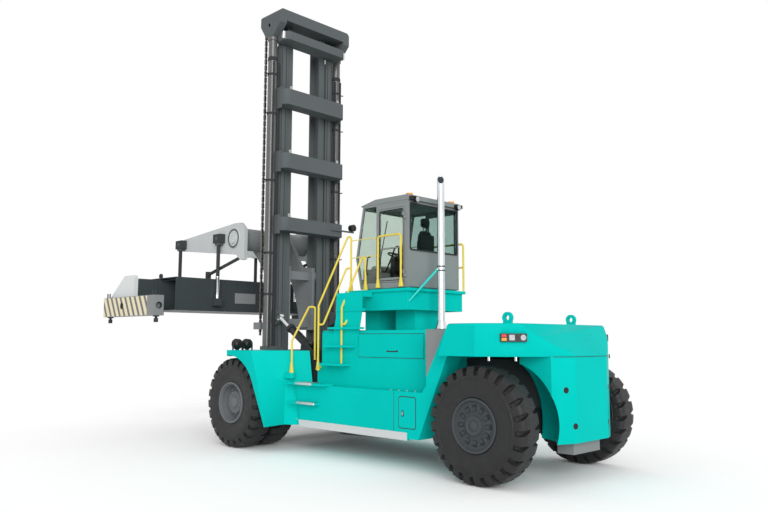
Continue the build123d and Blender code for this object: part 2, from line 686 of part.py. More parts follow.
def side_window(y0, y1):
    """Front side window: the cab's outline inside its frame, ahead of the post."""
    return plate(cab_face(WINDOW_EDGE), y0, y1) & block(WINDOW_POST, CAB_KNEE[0] + 100, y0, y1, WINDOW_LOW,
                                                        WINDOW_TOP)


def rear_side_window(y0, y1):
    """Right side window behind the post."""
    return block(DOOR_REAR, DOOR_FRONT, y0, y1, REAR_WINDOW_LOW, WINDOW_TOP)


def rear_window(x0, x1):
    """Window in the cab's rear wall."""
    return block(x0, x1, -REAR_WINDOW_Y, REAR_WINDOW_Y, REAR_WINDOW_LOW, WINDOW_TOP)


def cab_shell():
    """Hollow cab with its floor, window openings and doorway."""
    inside = CAB_Y - CAB_WALL
    shell = plate(cab_face(0), -CAB_Y, CAB_Y) - plate(cab_face(CAB_WALL), -inside, inside)
    shell -= rear_window(CAB_REAR, CAB_REAR + CAB_WALL) + screen_room()
    shell -= side_window(inside, CAB_Y) + side_window(-CAB_Y, -inside) + rear_side_window(-CAB_Y, -inside)
    shell -= block(DOOR_REAR, DOOR_FRONT, inside, CAB_Y, DOOR_BOTTOM, DOOR_TOP)
    shell += block(CAB_REAR + 200, CAB_FRONT_LOW - 300, -500, 500, DECK_TOP, CAB_FLOOR)
    axis_y = CAB_Y + HINGE_OUT
    for z in HINGE_Z:
        shell += block(DOOR_REAR - 60, DOOR_REAR + HINGE_PIN_R, CAB_Y, axis_y + HINGE_PIN_R, z - HINGE_HALF,
                       z - 5)
        shell += rod_z(DOOR_REAR, axis_y, HINGE_PIN_R, z - HINGE_HALF, z + HINGE_HALF)
    return shell


def cab_glass():
    """Panes of the windscreen and of the rear, right and left front windows."""
    near, far = (CAB_WALL - GLASS_T) / 2, (CAB_WALL + GLASS_T) / 2
    panes = plate(cab_face(near), -SCREEN_Y, SCREEN_Y) - plate(cab_face(far), -SCREEN_Y, SCREEN_Y)
    panes &= screen_room()
    panes += rear_window(CAB_REAR + near, CAB_REAR + far)
    panes += side_window(CAB_Y - far, CAB_Y - near) + side_window(near - CAB_Y, far - CAB_Y)
    return panes + rear_side_window(near - CAB_Y, far - CAB_Y)


def cab_roof():
    """Roof slab with a sloping front."""
    rear, front = CAB_REAR - 30, CAB_FRONT_TOP + 60
    return profile([(rear, ROOF_BOTTOM), (rear, ROOF_TOP - 20), (rear + 50, ROOF_TOP),
                    (front - 420, ROOF_TOP), (front, ROOF_BOTTOM + 20),
                    (front, ROOF_BOTTOM)], -CAB_Y - 10, CAB_Y + 10)


def seat():
    """Driver's seat: pedestal, cushion, back and headrest."""
    floor = CAB_FLOOR + CAB_WALL
    shape = block(-3520, -3180, -170, 170, floor, floor + 350)
    shape += block(-3600, -3080, -260, 260, floor + 350, floor + 480)
    shape += block(-3680, -3560, -260, 260, floor + 400, floor + 1150)
    shape += both(block(-3630, -3610, 40, 60, floor + 1140, floor + 1220))
    return shape + block(-3670, -3570, -140, 140, floor + 1200, floor + 1400)


def console():
    """Steering column with its wheel, and the side console."""
    floor = CAB_FLOOR + CAB_WALL
    wheel = revolve(Plane.XZ * Pos(190, 0) * RegularPolygon(18, 6), Axis.Z)
    wheel += Box(380, 40, 24) + Pos(0, 0, -40) * Cylinder(40, 80)
    shape = block(-2860, -2740, -100, 100, floor, floor + 650)
    shape += Pos(at(-2830), 0, floor + 690) * Rot(0, -25, 0) * wheel
    return shape + block(-3500, -2950, -600, -380, floor, floor + 620)


def door():
    """Cab door with its window opening, hinge leaves and the guard hoop in front of it."""
    inside = CAB_Y - CAB_WALL
    leaf = block(DOOR_REAR + DOOR_GAP, DOOR_FRONT - DOOR_GAP, inside, CAB_Y, DOOR_BOTTOM + DOOR_GAP,
                 DOOR_TOP - DOOR_GAP)
    leaf -= door_window(inside, CAB_Y)
    legs = (DOOR_REAR + 40, DOOR_FRONT - 60)
    low = DECK_TOP + 30
    leaf += tube([(legs[0], HOOP_Y, low), (legs[0], HOOP_Y, HOOP_TOP), (legs[1], HOOP_Y, HOOP_TOP),
                  (legs[1], HOOP_Y, low)], RAIL_R, 60)
    for x in legs:
        for z in (DOOR_BOTTOM + 60, HOOP_TOP - 130):
            leaf += block(x - 12, x + 12, CAB_Y, HOOP_Y, z - 12, z + 12)
    axis_y = CAB_Y + HINGE_OUT
    for z in HINGE_Z:
        leaf += block(DOOR_REAR + DOOR_GAP, DOOR_REAR + 60, CAB_Y, axis_y, z, z + HINGE_HALF)
        leaf += rod_z(DOOR_REAR, axis_y, HINGE_R, z, z + HINGE_HALF)
        leaf -= rod_z(DOOR_REAR, axis_y, HINGE_PIN_R + PIN_PLAY, z, z + HINGE_HALF)
    return leaf


def door_window(y0, y1):
    """Window of the door."""
    return block(DOOR_REAR + DOOR_EDGE, DOOR_FRONT - DOOR_EDGE, y0, y1, DOOR_BOTTOM + DOOR_EDGE + 20,
                 DOOR_TOP - DOOR_EDGE - 20)


def lamps():
    """Work lamps on the cab roof and front fenders, and the clusters in the rear hood's curves."""
    shape = block(CAB_REAR - 110, CAB_REAR - 30, CAB_Y - 170, CAB_Y + 10, ROOF_BOTTOM - 10,
                  ROOF_BOTTOM + 60)
    for y in (TRACK_FRONT - 280, TRACK_FRONT - 20):
        shape += rod_x(140, 240, y, FENDER_TOP + 130, 110)
        shape += block(160, 220, y - 30, y + 30, FENDER_TOP, FENDER_TOP + 40)
    curve = rear_curve()
    place = curve.position_at(0.36)
    along = curve.tangent_at(0.36)
    cluster = Plane((place.X, place.Y, REAR_HOOD_BOTTOM + 300), x_dir=(along.X, along.Y, 0),
                    z_dir=(0, 0, 1))
    return both(shape + cluster * Box(420, 90, 130))


def beacons():
    """Flat amber beacons on the roof's rear corners."""
    return both(rod_z(CAB_REAR + 90, CAB_Y - 130, BEACON_R, ROOF_TOP, ROOF_TOP + BEACON_H))


# Mast

def outer_mast():
    """Outer mast: channel columns, foot, pivot pins, lift-cylinder feet and tilt eyes."""
    inside = OUTER_Y - OUTER_W
    half = block(MAST_REAR, MAST_FRONT, inside, OUTER_Y, OUTER_BOTTOM, OUTER_TOP)
    half -= block(MAST_REAR + COLUMN_WALL, MAST_FRONT - COLUMN_WALL, inside, OUTER_Y - COLUMN_WALL,
                  OUTER_BOTTOM, OUTER_TOP)
    half += rod_y(MAST_PIVOT_X, TYRE_R, MAST_PIVOT_R, OUTER_Y - 20, FRAME_Y)
    half += block(LIFT_X - 120, LIFT_X + 120, OUTER_Y, LIFT_Y + LIFT_BARREL_R, LIFT_FOOT_Z - 80,
                  LIFT_FOOT_Z)
    x, z = TILT_EYE
    half += profile([(x - 80, z - 60), (x - 80, z + 60), (x, z + 90), (x + 430, z + 250),
                     (x + 430, z - 250), (x, z - 90)],
                    OUTER_Y, OUTER_Y + 40)
    half += rod_y(x, z, TILT_PIN_R, OUTER_Y, TILT_Y + TILT_EYE_HALF)
    return both(half) + block(MAST_REAR + 20, MAST_FRONT - 20, -OUTER_Y, OUTER_Y, OUTER_BOTTOM,
                              OUTER_BOTTOM + 210)


def crossbeam(front, low, height):
    """Beam behind the mast with rounded rear corners."""
    beam = block(MAST_REAR - CROSSBEAM_DEPTH, front, -CROSSBEAM_HALF, CROSSBEAM_HALF, low, low + height)
    return fillet(beam.edges().filter_by(Axis.Z).group_by(Axis.X)[0], CROSSBEAM_ROUND)


def lamp_arm_place():
    """Place (x, z) of the arm that carries the mast lamp."""
    return MAST_REAR - CROSSBEAM_DEPTH - LAMP_ARM_R + 2, OUTER_TOP - CROSSBEAMS[-1][0] - LAMP_ARM_DROP


def mast_beams():
    """Crossbeams on the outer columns' rear faces, with the arm of the mast lamp."""
    shape = crossbeam(MAST_REAR, *LOW_BEAM)
    for drop, height in CROSSBEAMS:
        shape += crossbeam(MAST_REAR, OUTER_TOP - drop - height, height)
    shape -= both(rod_z(LIFT_X, LIFT_Y, LIFT_BARREL_R + RUN_GAP, LOW_BEAM[0], OUTER_TOP))
    x, z = lamp_arm_place()
    return shape + rod_y(x, z, LAMP_ARM_R, LAMP_ARM_IN, LAMP_ARM_OUT)


def mast_lamp():
    """Round work lamp on the end of the mast's arm."""
    x, z = lamp_arm_place()
    return rod_x(x - 60, x + 60, LAMP_ARM_OUT + 40, z + LAMP_ARM_R + MAST_LAMP_R, MAST_LAMP_R)


def lift_cylinders():
    """Barrels of the two lift cylinders."""
    barrel = rod_z(LIFT_X, LIFT_Y, LIFT_BARREL_R, LIFT_FOOT_Z, LIFT_BARREL_TOP)
    return both(barrel - rod_z(LIFT_X, LIFT_Y, LIFT_ROD_R + PIN_PLAY, LIFT_FOOT_Z + 100, LIFT_BARREL_TOP))


def lift_rods():
    """Rods that push the crosshead up."""
    return both(rod_z(LIFT_X, LIFT_Y, LIFT_ROD_R, LIFT_FOOT_Z + 900, CHEEK_TIP))


def inner_mast():
    """Inner mast: columns in the outer channels, foot, top beam, crosshead with cheeks and sheaves."""
    inside = INNER_OUT - INNER_W
    rear, front = MAST_REAR + COLUMN_WALL + RUN_GAP / 2, MAST_FRONT - COLUMN_WALL - RUN_GAP / 2
    half = block(rear, front, inside, INNER_OUT, INNER_BOTTOM, CROSSHEAD_LOW + 10)
    half -= block(rear + COLUMN_WALL, front - COLUMN_WALL, inside, INNER_OUT - COLUMN_WALL, INNER_BOTTOM,
                  CROSSHEAD_LOW)
    half += rod_y(MAST_MID, INNER_BOTTOM + 380, MAST_DEPTH / 2 - COLUMN_WALL - SLIDE_PLAY, INNER_OUT - 10,
                  OUTER_Y - COLUMN_WALL - RUN_GAP)
    cheek_in = CROSSHEAD_HALF - CHEEK_T
    half += profile([(CROSSHEAD_REAR, CROSSHEAD_LOW + 10), (CROSSHEAD_FRONT, CROSSHEAD_LOW + 10),
                     (CROSSHEAD_FRONT, CROSSHEAD_LOW - 20),
                     (LIFT_X + 160, CHEEK_TIP), (LIFT_X - 100, CHEEK_TIP),
                     (CROSSHEAD_REAR, CROSSHEAD_LOW - 70)],
                    cheek_in, CROSSHEAD_HALF)
    half += rod_y(SHEAVE_X, SHEAVE_Z, SHEAVE_R, INNER_OUT + 60, cheek_in - 40)
    half += rod_y(SHEAVE_X, SHEAVE_Z, SHEAVE_R / 3, INNER_OUT - 10, cheek_in)
    mast = both(half)
    mast += block(rear + COLUMN_WALL, front - COLUMN_WALL, -INNER_OUT, INNER_OUT, INNER_BOTTOM + 20,
                  INNER_BOTTOM + 280)
    mast += crossbeam(rear + 20, TOP_BEAM_LOW, TOP_BEAM_H)
    head = block(CROSSHEAD_REAR, CROSSHEAD_FRONT, -CROSSHEAD_HALF, CROSSHEAD_HALF, CROSSHEAD_LOW, MAST_TOP)
    mast += chamfer(head.edges().filter_by(Axis.X).group_by(Axis.Z)[-1], 60)
    return mast - both(rod_z(LIFT_X, LIFT_Y, LIFT_ROD_R + RUN_GAP, TOP_BEAM_LOW, TOP_BEAM_LOW + TOP_BEAM_H))


def chain(room):
    """Left lift chain as a plain bar, or the room that it needs."""
    half = CHAIN_HALF + room
    return block(CHAIN_X - half, CHAIN_X + half, LIFT_Y - half, LIFT_Y + half, CHAIN_LOW, CROSSHEAD_LOW)


def carriage():
    """Carriage: side plates with rollers in the inner columns, cross pieces, chain forks, arm tube."""
    gap = MAST_DEPTH - 4 * COLUMN_WALL - RUN_GAP
    nose, heel = (TUBE_X + 230, TUBE_Z - 230), (800, CARRIAGE_LOW)
    outline = line([heel, (CARRIAGE_REAR, CARRIAGE_LOW), (CARRIAGE_REAR, CARRIAGE_HIGH),
                    (760, CARRIAGE_HIGH + 50),
                    (TUBE_X - 250, TUBE_Z + 150), (TUBE_X + 150, TUBE_Z + 150), nose])
    outline += arc(nose, (1060, 3500), heel)
    half = plate(make_face(outline), CARRIAGE_Y - CARRIAGE_WALL, CARRIAGE_Y)
    for z in (CARRIAGE_LOW + 250, CARRIAGE_HIGH - 200):
        half += rod_y(MAST_MID, z, gap / 2 - SLIDE_PLAY, CARRIAGE_Y - 10, INNER_OUT - COLUMN_WALL - RUN_GAP)
    front = MAST_FRONT + RUN_GAP
    half += block(front, front + 60, CARRIAGE_Y - 10, LIFT_Y + 50, CARRIAGE_LOW, CARRIAGE_LOW + 160)
    half += block(CHAIN_X - 60, front + 60, LIFT_Y - 50, LIFT_Y + 60, CARRIAGE_LOW, CARRIAGE_LOW + 160)
    shape = both(half - chain(CHAIN_GAP))
    for z in (CARRIAGE_LOW + 60, CARRIAGE_HIGH - 300):
        shape += block(450, 650, -CARRIAGE_Y + 10, CARRIAGE_Y - 10, z, z + 200)
    return shape + rod_y(TUBE_X, TUBE_Z, TUBE_R, -ARM_Y, ARM_Y)


def spreader_arms():
    """Tapered arm plates at the tube's ends with their bosses."""
    outer = ARM_Y + ARM_T
    arm = profile([(1130, 4160), (1130, 4900), (1300, 5060), (1560, 5070), (4200, 4850), (4200, 4600),
                   (3800, 4560), (1480, 4300),
                   (1290, 4160)], ARM_Y, outer)
    arm += rod_y(TUBE_X, TUBE_Z, BOSS_R, outer, outer + BOSS_OUT)
    return both(arm + rod_y(TUBE_X, TUBE_Z, BOSS_HUB_R, outer, outer + 2 * BOSS_OUT))


def hangers():
    """Brackets, hanger rods and stays between the arms and the spreader."""
    outer = ARM_Y + ARM_T
    low, high = HANGER_HEAD
    half = Part()
    for sign in (-1, 1):
        x = SPREADER_X + sign * HANGER_REACH
        half += block(x - 150, x + 150, outer, HANGER_Y + 70, low, high)
        half += rod_z(x, HANGER_Y, HANGER_R, HANGER_FOOT, low)
    half += block(SPREADER_X - 300, SPREADER_X - 200, ARM_Y - 10, ARM_Y + 90, SPREADER_TOP,
                  SPREADER_TOP + 220)
    half += bar((1370, ARM_Y + 40, 4220), (SPREADER_X - 240, ARM_Y + 40, SPREADER_TOP + 140), STAY_R)
    return both(half)


def spreader():
    """Main frame of the spreader with the tunnels for its two telescopic beams."""
    rear, front = SPREADER_X - SPREADER_HALF_X, SPREADER_X + SPREADER_HALF_X
    floor, ceiling = SPREADER_BOTTOM + SPREADER_WALL, SPREADER_TOP - SPREADER_WALL
    body = block(rear, front, -SPREADER_HALF_Y, SPREADER_HALF_Y, SPREADER_BOTTOM, SPREADER_TOP)
    for x0, x1 in ((rear, SPREADER_X), (SPREADER_X, front)):
        body -= block(x0 + SPREADER_WALL, x1 - SPREADER_WALL, -SPREADER_HALF_Y, SPREADER_HALF_Y, floor,
                      ceiling)
    pad = RUN_GAP - SLIDE_PLAY
    for sign in (1, -1):
        x = SPREADER_X + sign * SPREADER_HALF_X / 2
        mouth = sign * (SPREADER_HALF_Y - 150)
        body += block(x - 250, x + 250, mouth - 150, mouth + 150, floor, floor + pad)
        body += block(x - 250, x + 250, mouth - 150, mouth + 150, ceiling - pad, ceiling)
        face = SPREADER_X + sign * SPREADER_HALF_X
        foot = SPREADER_X + sign * (HANGER_REACH + 80)
        body += both(block(face, foot, HANGER_Y - 110, HANGER_Y + 110, HANGER_FOOT - 180, HANGER_FOOT))
        eye = rod_y(SPREADER_X, SPREADER_TOP + 50, 60, sign * 2200, sign * 2250)
        body += eye - rod_y(SPREADER_X, SPREADER_TOP + 60, 28, sign * 2190, sign * 2260)
    body += block(rear - 15, rear, 0, 620, SPREADER_BOTTOM + 210, SPREADER_BOTTOM + 470)
    return body


def telescope():
    """Left telescopic beam, in the front tunnel, with its end beam and twistlocks."""
    x0 = SPREADER_X + SPREADER_WALL + RUN_GAP
    x1 = SPREADER_X + SPREADER_HALF_X - SPREADER_WALL - RUN_GAP
    z0, z1 = SPREADER_BOTTOM + SPREADER_WALL + RUN_GAP, SPREADER_TOP - SPREADER_WALL - RUN_GAP
    inner = END_Y - END_BEAM_W
    back = -SPREADER_HALF_Y + 120
    shape = block(x0, x1, back, inner + 30, z0, z1)
    shape -= block(x0 + TELE_WALL, x1 - TELE_WALL, back, inner, z0 + TELE_WALL, z1 - TELE_WALL)
    shape += block(SPREADER_X - END_BEAM_HALF, SPREADER_X + END_BEAM_HALF, inner, END_Y, END_BEAM_BOTTOM,
                   END_BEAM_TOP)
    gusset = profile([(x0, END_BEAM_TOP), (x0, z1 + 80), (x0 + 500, z1 + 80),
                      (SPREADER_X + END_BEAM_HALF, END_BEAM_TOP)],
                     inner, inner + 90)
    top = gusset.edges().filter_by(Axis.Y).group_by(Axis.Z)[-1]
    shape += fillet(top, 60)
    shape -= rod_y(SPREADER_X + 300, END_BEAM_BOTTOM + 250, HOUSING_R, END_Y - 90, END_Y)
    for sign in (-1, 1):
        end = SPREADER_X + sign * END_BEAM_HALF
        shape -= rod_x(end, end - sign * 90, LOCK_Y, END_BEAM_BOTTOM + 230, HOUSING_R)
        x = SPREADER_X + sign * LOCK_X
        shape += rod_z(x, LOCK_Y, LOCK_R, LOCK_TIP + 60, END_BEAM_BOTTOM + 5)
        shape += Pos(at(x), LOCK_Y, LOCK_TIP + 45) * Box(105, 55, 90)
    return shape


# Tilt cylinders

def tilt_axis():
    """Place and direction of the left tilt cylinder: its base, with Z along the rod."""
    run = Vector(TILT_EYE[0] - TILT_BASE[0], 0, TILT_EYE[1] - TILT_BASE[1])
    return Plane((at(TILT_BASE[0]), TILT_Y, TILT_BASE[1]), x_dir=(0, 1, 0), z_dir=run), run.length


def tilt_tube(radius, start, end):
    """Cylinder along the left tilt cylinder's axis."""
    return tilt_axis()[0] * Pos(0, 0, (start + end) / 2) * Cylinder(radius, end - start)


def tilt_barrel():
    """Left tilt barrel with its base eye and pin."""
    barrel = tilt_tube(TILT_BARREL_R, 60, TILT_BARREL_L)
    barrel += rod_y(*TILT_BASE, TILT_BOSS_R, TILT_Y - TILT_BOSS_HALF, TILT_Y + TILT_BOSS_HALF)
    barrel += rod_y(*TILT_BASE, TILT_PIN_R, TILT_Y - EAR_OUT, TILT_Y + EAR_OUT)
    return barrel - tilt_tube(TILT_ROD_R + PIN_PLAY, 110, TILT_BARREL_L)


def tilt_rod():
    """Left tilt rod with its eye round the mast's pin."""
    rod = tilt_tube(TILT_ROD_R, TILT_ROD_IN, tilt_axis()[1])
    rod += rod_y(*TILT_EYE, TILT_EYE_R, TILT_Y - TILT_EYE_HALF, TILT_Y + TILT_EYE_HALF)
    return rod - rod_y(*TILT_EYE, TILT_PIN_R + EYE_PLAY, TILT_Y - TILT_EYE_HALF, TILT_Y + TILT_EYE_HALF)


os.makedirs("parts", exist_ok=True)
front_wheels()
rear_wheels()
axle = drive_axle()
chassis = frame(axle)
lights = lamps()
bars = rails()
deck = platform()
wing = fender()
crosshead = inner_mast()
arms = spreader_arms()

SINGLES = {
    "drive_axle": axle,
    "frame": chassis,
    "steer_axle": steer_axle(),
    "engine": engine(),
    "mid_hood": mid_hood() - chassis,
    "rear_hood": rear_hood() - lights,
    "counterweight": counterweight(),
    "exhaust": exhaust(deck),
    "platform": deck,
    "rails": bars - deck - both(wing),
    "cab_shell": cab_shell(),
    "cab_roof": cab_roof(),
    "cab_glass": cab_glass(),
    "seat": seat(),
    "console": console(),
    "cab_door": door(),
    "door_glass": door_window(CAB_Y - (CAB_WALL + GLASS_T) / 2, CAB_Y - (CAB_WALL - GLASS_T) / 2),
    "lamps": lights,
    "beacons": beacons(),
    "outer_mast": outer_mast(),
    "mast_beams": mast_beams(),
    "mast_lamp": mast_lamp(),
    "lift_cylinders": lift_cylinders(),
    "inner_mast": crosshead,
    "lift_rods": lift_rods(),
    "lift_chains": both(chain(0)) - crosshead,
    "carriage": carriage(),
    "spreader_arms": arms,
    "hangers": hangers() - arms,
    "spreader": spreader(),
}
for name, piece in SINGLES.items():
    save(name, piece)

# Pieces made once for the left side and turned over for the right one
PAIRS = {
    "knuckle": knuckle(),
    "fender": wing,
    "side_box": side_box() - wing - chassis,
    "stair": stair() - bars - wing,
    "tilt_barrel": tilt_barrel(),
    "tilt_rod": tilt_rod(),
}
for name, piece in PAIRS.items():
    save(name + "_left", piece)
    save(name + "_right", mirror(piece, Plane.XZ))

# The right telescopic beam is the left one turned half round about the spreader's middle
beam = telescope()
save("telescope_left", beam)
save("telescope_right", Pos(2 * at(SPREADER_X), 0, 0) * Rot(0, 0, 180) * beam)
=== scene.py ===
"""Laden container handler: finishes, tyres, chains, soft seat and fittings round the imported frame.

Metres, +X forward, +Y left, +Z up. Places along X are counted from the front axle and moved by at().
"""
import math

import bmesh
import bpy
from mathutils import Euler, Matrix, Vector
from mathutils.bvhtree import BVHTree


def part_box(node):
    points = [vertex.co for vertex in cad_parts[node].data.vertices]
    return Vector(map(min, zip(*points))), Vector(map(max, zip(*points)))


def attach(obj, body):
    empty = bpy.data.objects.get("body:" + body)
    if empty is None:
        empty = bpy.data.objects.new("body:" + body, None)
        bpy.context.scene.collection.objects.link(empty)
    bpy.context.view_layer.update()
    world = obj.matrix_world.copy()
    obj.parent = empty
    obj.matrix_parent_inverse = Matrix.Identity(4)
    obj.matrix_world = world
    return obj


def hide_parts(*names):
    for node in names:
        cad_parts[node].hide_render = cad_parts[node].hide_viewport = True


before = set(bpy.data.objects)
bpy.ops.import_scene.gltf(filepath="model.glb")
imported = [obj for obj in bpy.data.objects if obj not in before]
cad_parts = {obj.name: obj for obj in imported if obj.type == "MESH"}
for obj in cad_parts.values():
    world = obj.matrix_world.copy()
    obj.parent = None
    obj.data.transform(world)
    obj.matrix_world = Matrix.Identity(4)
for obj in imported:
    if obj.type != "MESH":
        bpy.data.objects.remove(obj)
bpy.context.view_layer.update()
scene = bpy.context.scene

SIDES = {"left": 1, "right": -1}


def box(node):
    """Lowest and highest corner of a CAD node."""
    low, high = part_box(node)
    return Vector(low), Vector(high)


def centre(node):
    """Middle of a CAD node's box."""
    low, high = box(node)
    return (low + high) / 2


FRONT_X = centre("front_tyres_left").x


def at(x):
    """Place along X of a point counted from the front axle."""
    return FRONT_X + x


def rear_face(node, y, z):
    """Point and outward normal where a CAD node is first met from behind."""
    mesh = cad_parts[node].data
    tree = BVHTree.FromPolygons([v.co for v in mesh.vertices], [p.vertices for p in mesh.polygons])
    point, normal, _, _ = tree.ray_cast(Vector((box(node)[0].x - 1, y, z)), Vector((1, 0, 0)))
    return point, normal if normal.x < 0 else -normal


def shift(x, y, z):
    """Place that is moved and not turned."""
    return Matrix.Translation((x, y, z))


def facing(point, normal):
    """Place at a point with Z along a normal and Y upwards."""
    z = Vector(normal).normalized()
    x = Vector((0, 0, 1)).cross(z).normalized()
    turn = Matrix((x, z.cross(x), z)).transposed().to_4x4()
    return shift(*point) @ turn


def outside(sign, x, y, z):
    """Place that faces outwards on the left or right side."""
    return facing((at(x), sign * y, z), (0, sign, 0))


def ring_points(radius, count, start=0.0):
    """Points on a circle."""
    return [(radius * math.cos(start + k * math.tau / count),
             radius * math.sin(start + k * math.tau / count))
            for k in range(count)]


def rounded(width, height, radius, steps=5):
    """Outline of a rectangle with round corners, its middle at zero."""
    points = []
    for k, (sx, sy) in enumerate(((1, 1), (-1, 1), (-1, -1), (1, -1))):
        for i in range(steps + 1):
            turn = (k + i / steps) * math.pi / 2
            points.append((sx * (width / 2 - radius) + radius * math.cos(turn),
                           sy * (height / 2 - radius) + radius * math.sin(turn)))
    return points


class Form:
    """Closed shapes gathered into the mesh of one piece."""

    def __init__(self):
        self.verts, self.faces = [], []

    def add(self, verts, faces):
        """Vertices and faces of one more shape."""
        first = len(self.verts)
        self.verts += [tuple(v) for v in verts]
        self.faces += [[first + i for i in face] for face in faces]

    def skin(self, rings, loop=False):
        """Skin over rings of equal length, capped unless it closes on itself."""
        count, total = len(rings[0]), len(rings)
        faces = []
        for r in range(total if loop else total - 1):
            a, b = r * count, (r + 1) % total * count
            faces += [(a + k, a + (k + 1) % count, b + (k + 1) % count, b + k) for k in range(count)]
        if not loop:
            faces += [tuple(reversed(range(count))), tuple(range((total - 1) * count, total * count))]
        self.add([p for ring in rings for p in ring], faces)

    def prism(self, outline, place, depth, edge=0.0):
        """Outline in a place's XY plane raised along its Z, with the upper edge broken."""
        reach = max(math.hypot(u, v) for u, v in outline)
        inner = 1 - edge / reach
        levels = [(0, 1), (depth - edge, 1), (depth, inner)] if edge else [(0, 1), (depth, 1)]
        self.skin([[place @ Vector((u * scale, v * scale, w)) for u, v in outline] for w, scale in levels])

    def block(self, low, high, edge=0.004):
        """Block between two corners with broken edges."""
        low, high = Vector(map(min, low, high)), Vector(map(max, low, high))
        edge = min(edge, min(high - low) / 3)
        rings = []
        for z, inset in ((low.z, edge), (low.z + edge, 0), (high.z - edge, 0), (high.z, edge)):
            x0, x1, y0, y1 = low.x + inset, high.x - inset, low.y + inset, high.y - inset
            rings.append([(x0 + edge, y0, z), (x1 - edge, y0, z), (x1, y0 + edge, z), (x1, y1 - edge, z),
                          (x1 - edge, y1, z), (x0 + edge, y1, z), (x0, y1 - edge, z), (x0, y0 + edge, z)])
        self.skin(rings)

    def slab(self, x, y, z, edge=0.004):
        """Block between two places along each axis, X counted from the front axle."""
        self.block((at(x[0]), y[0], z[0]), (at(x[1]), y[1], z[1]), edge)

    def lathe(self, profile, place, steps=24):
        """(radius, height) points turned round a place's Z axis, capped at both ends."""
        self.skin([[place @ Vector((u, v, h)) for u, v in ring_points(r, steps)] for r, h in profile])

    def hoop(self, profile, place, steps=48):
        """Closed (radius, height) section turned round a place's Z axis."""
        rings = [[place @ Vector((r * c, r * s, h)) for r, h in profile] for c, s in ring_points(1, steps)]
        self.skin(rings, loop=True)

    def band(self, inner, outer, low, high, place, steps=40):
        """Ring with a square section round a place's Z axis."""
        self.hoop([(inner, low), (outer, low), (outer, high), (inner, high)], place, steps)

    def surround(self, outer, inner, face, back, place):
        """Frame between two outlines in a place's XY plane and between two depths."""
        loops = ((outer, face), (inner, face), (inner, back), (outer, back))
        self.skin([[place @ Vector((p[0], p[1], depth)) for p in loop] for loop, depth in loops], loop=True)

    def tube(self, points, radius, sides=12):
        """Round bar along points."""
        points = [Vector(p) for p in points]
        rings = []
        side = None
        for k, p in enumerate(points):
            run = (points[min(k + 1, len(points) - 1)] - points[max(k - 1, 0)]).normalized()
            if side is None:
                side = run.orthogonal().normalized()
            side = (side - run * side.dot(run)).normalized()
            over = run.cross(side)
            rings.append([p + side * u + over * v for u, v in ring_points(radius, sides)])
        self.skin(rings)

    def nut(self, place, radius, height):
        """Hexagon nut on a washer with the stud's end."""
        self.lathe([(radius * 1.35, 0), (radius * 1.35, height * 0.2)], place, 16)
        self.prism(ring_points(radius, 6), place, height, height * 0.15)
        self.lathe([(radius * 0.5, height * 0.9), (radius * 0.5, height * 1.3),
                    (radius * 0.4, height * 1.4)], place, 8)


def bent(points, radius, steps=6):
    """Points of a line with round corners."""
    points = [Vector(p) for p in points]
    path = [points[0]]
    for before, corner, after in zip(points, points[1:], points[2:]):
        start = corner + (before - corner).normalized() * radius
        end = corner + (after - corner).normalized() * radius
        for i in range(steps + 1):
            t = i / steps
            path.append(start * (1 - t) ** 2 + corner * 2 * t * (1 - t) + end * t ** 2)
    return path + [points[-1]]


def piece(name, form, body, finish, replaced=(), smooth=40):
    """Object made of a form, riding on a CAD body."""
    mesh = bpy.data.meshes.new(name)
    mesh.from_pydata(form.verts, [], form.faces)
    work = bmesh.new()
    work.from_mesh(mesh)
    bmesh.ops.recalc_face_normals(work, faces=work.faces)
    work.to_mesh(mesh)
    work.free()
    mesh.shade_smooth()
    mesh.set_sharp_from_angle(angle=math.radians(smooth))
    obj = bpy.data.objects.new(name, mesh)
    scene.collection.objects.link(obj)
    mesh.materials.append(FINISHES[finish])
    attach(obj, body)
    if replaced:
        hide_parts(*replaced)
    return obj


# Materials

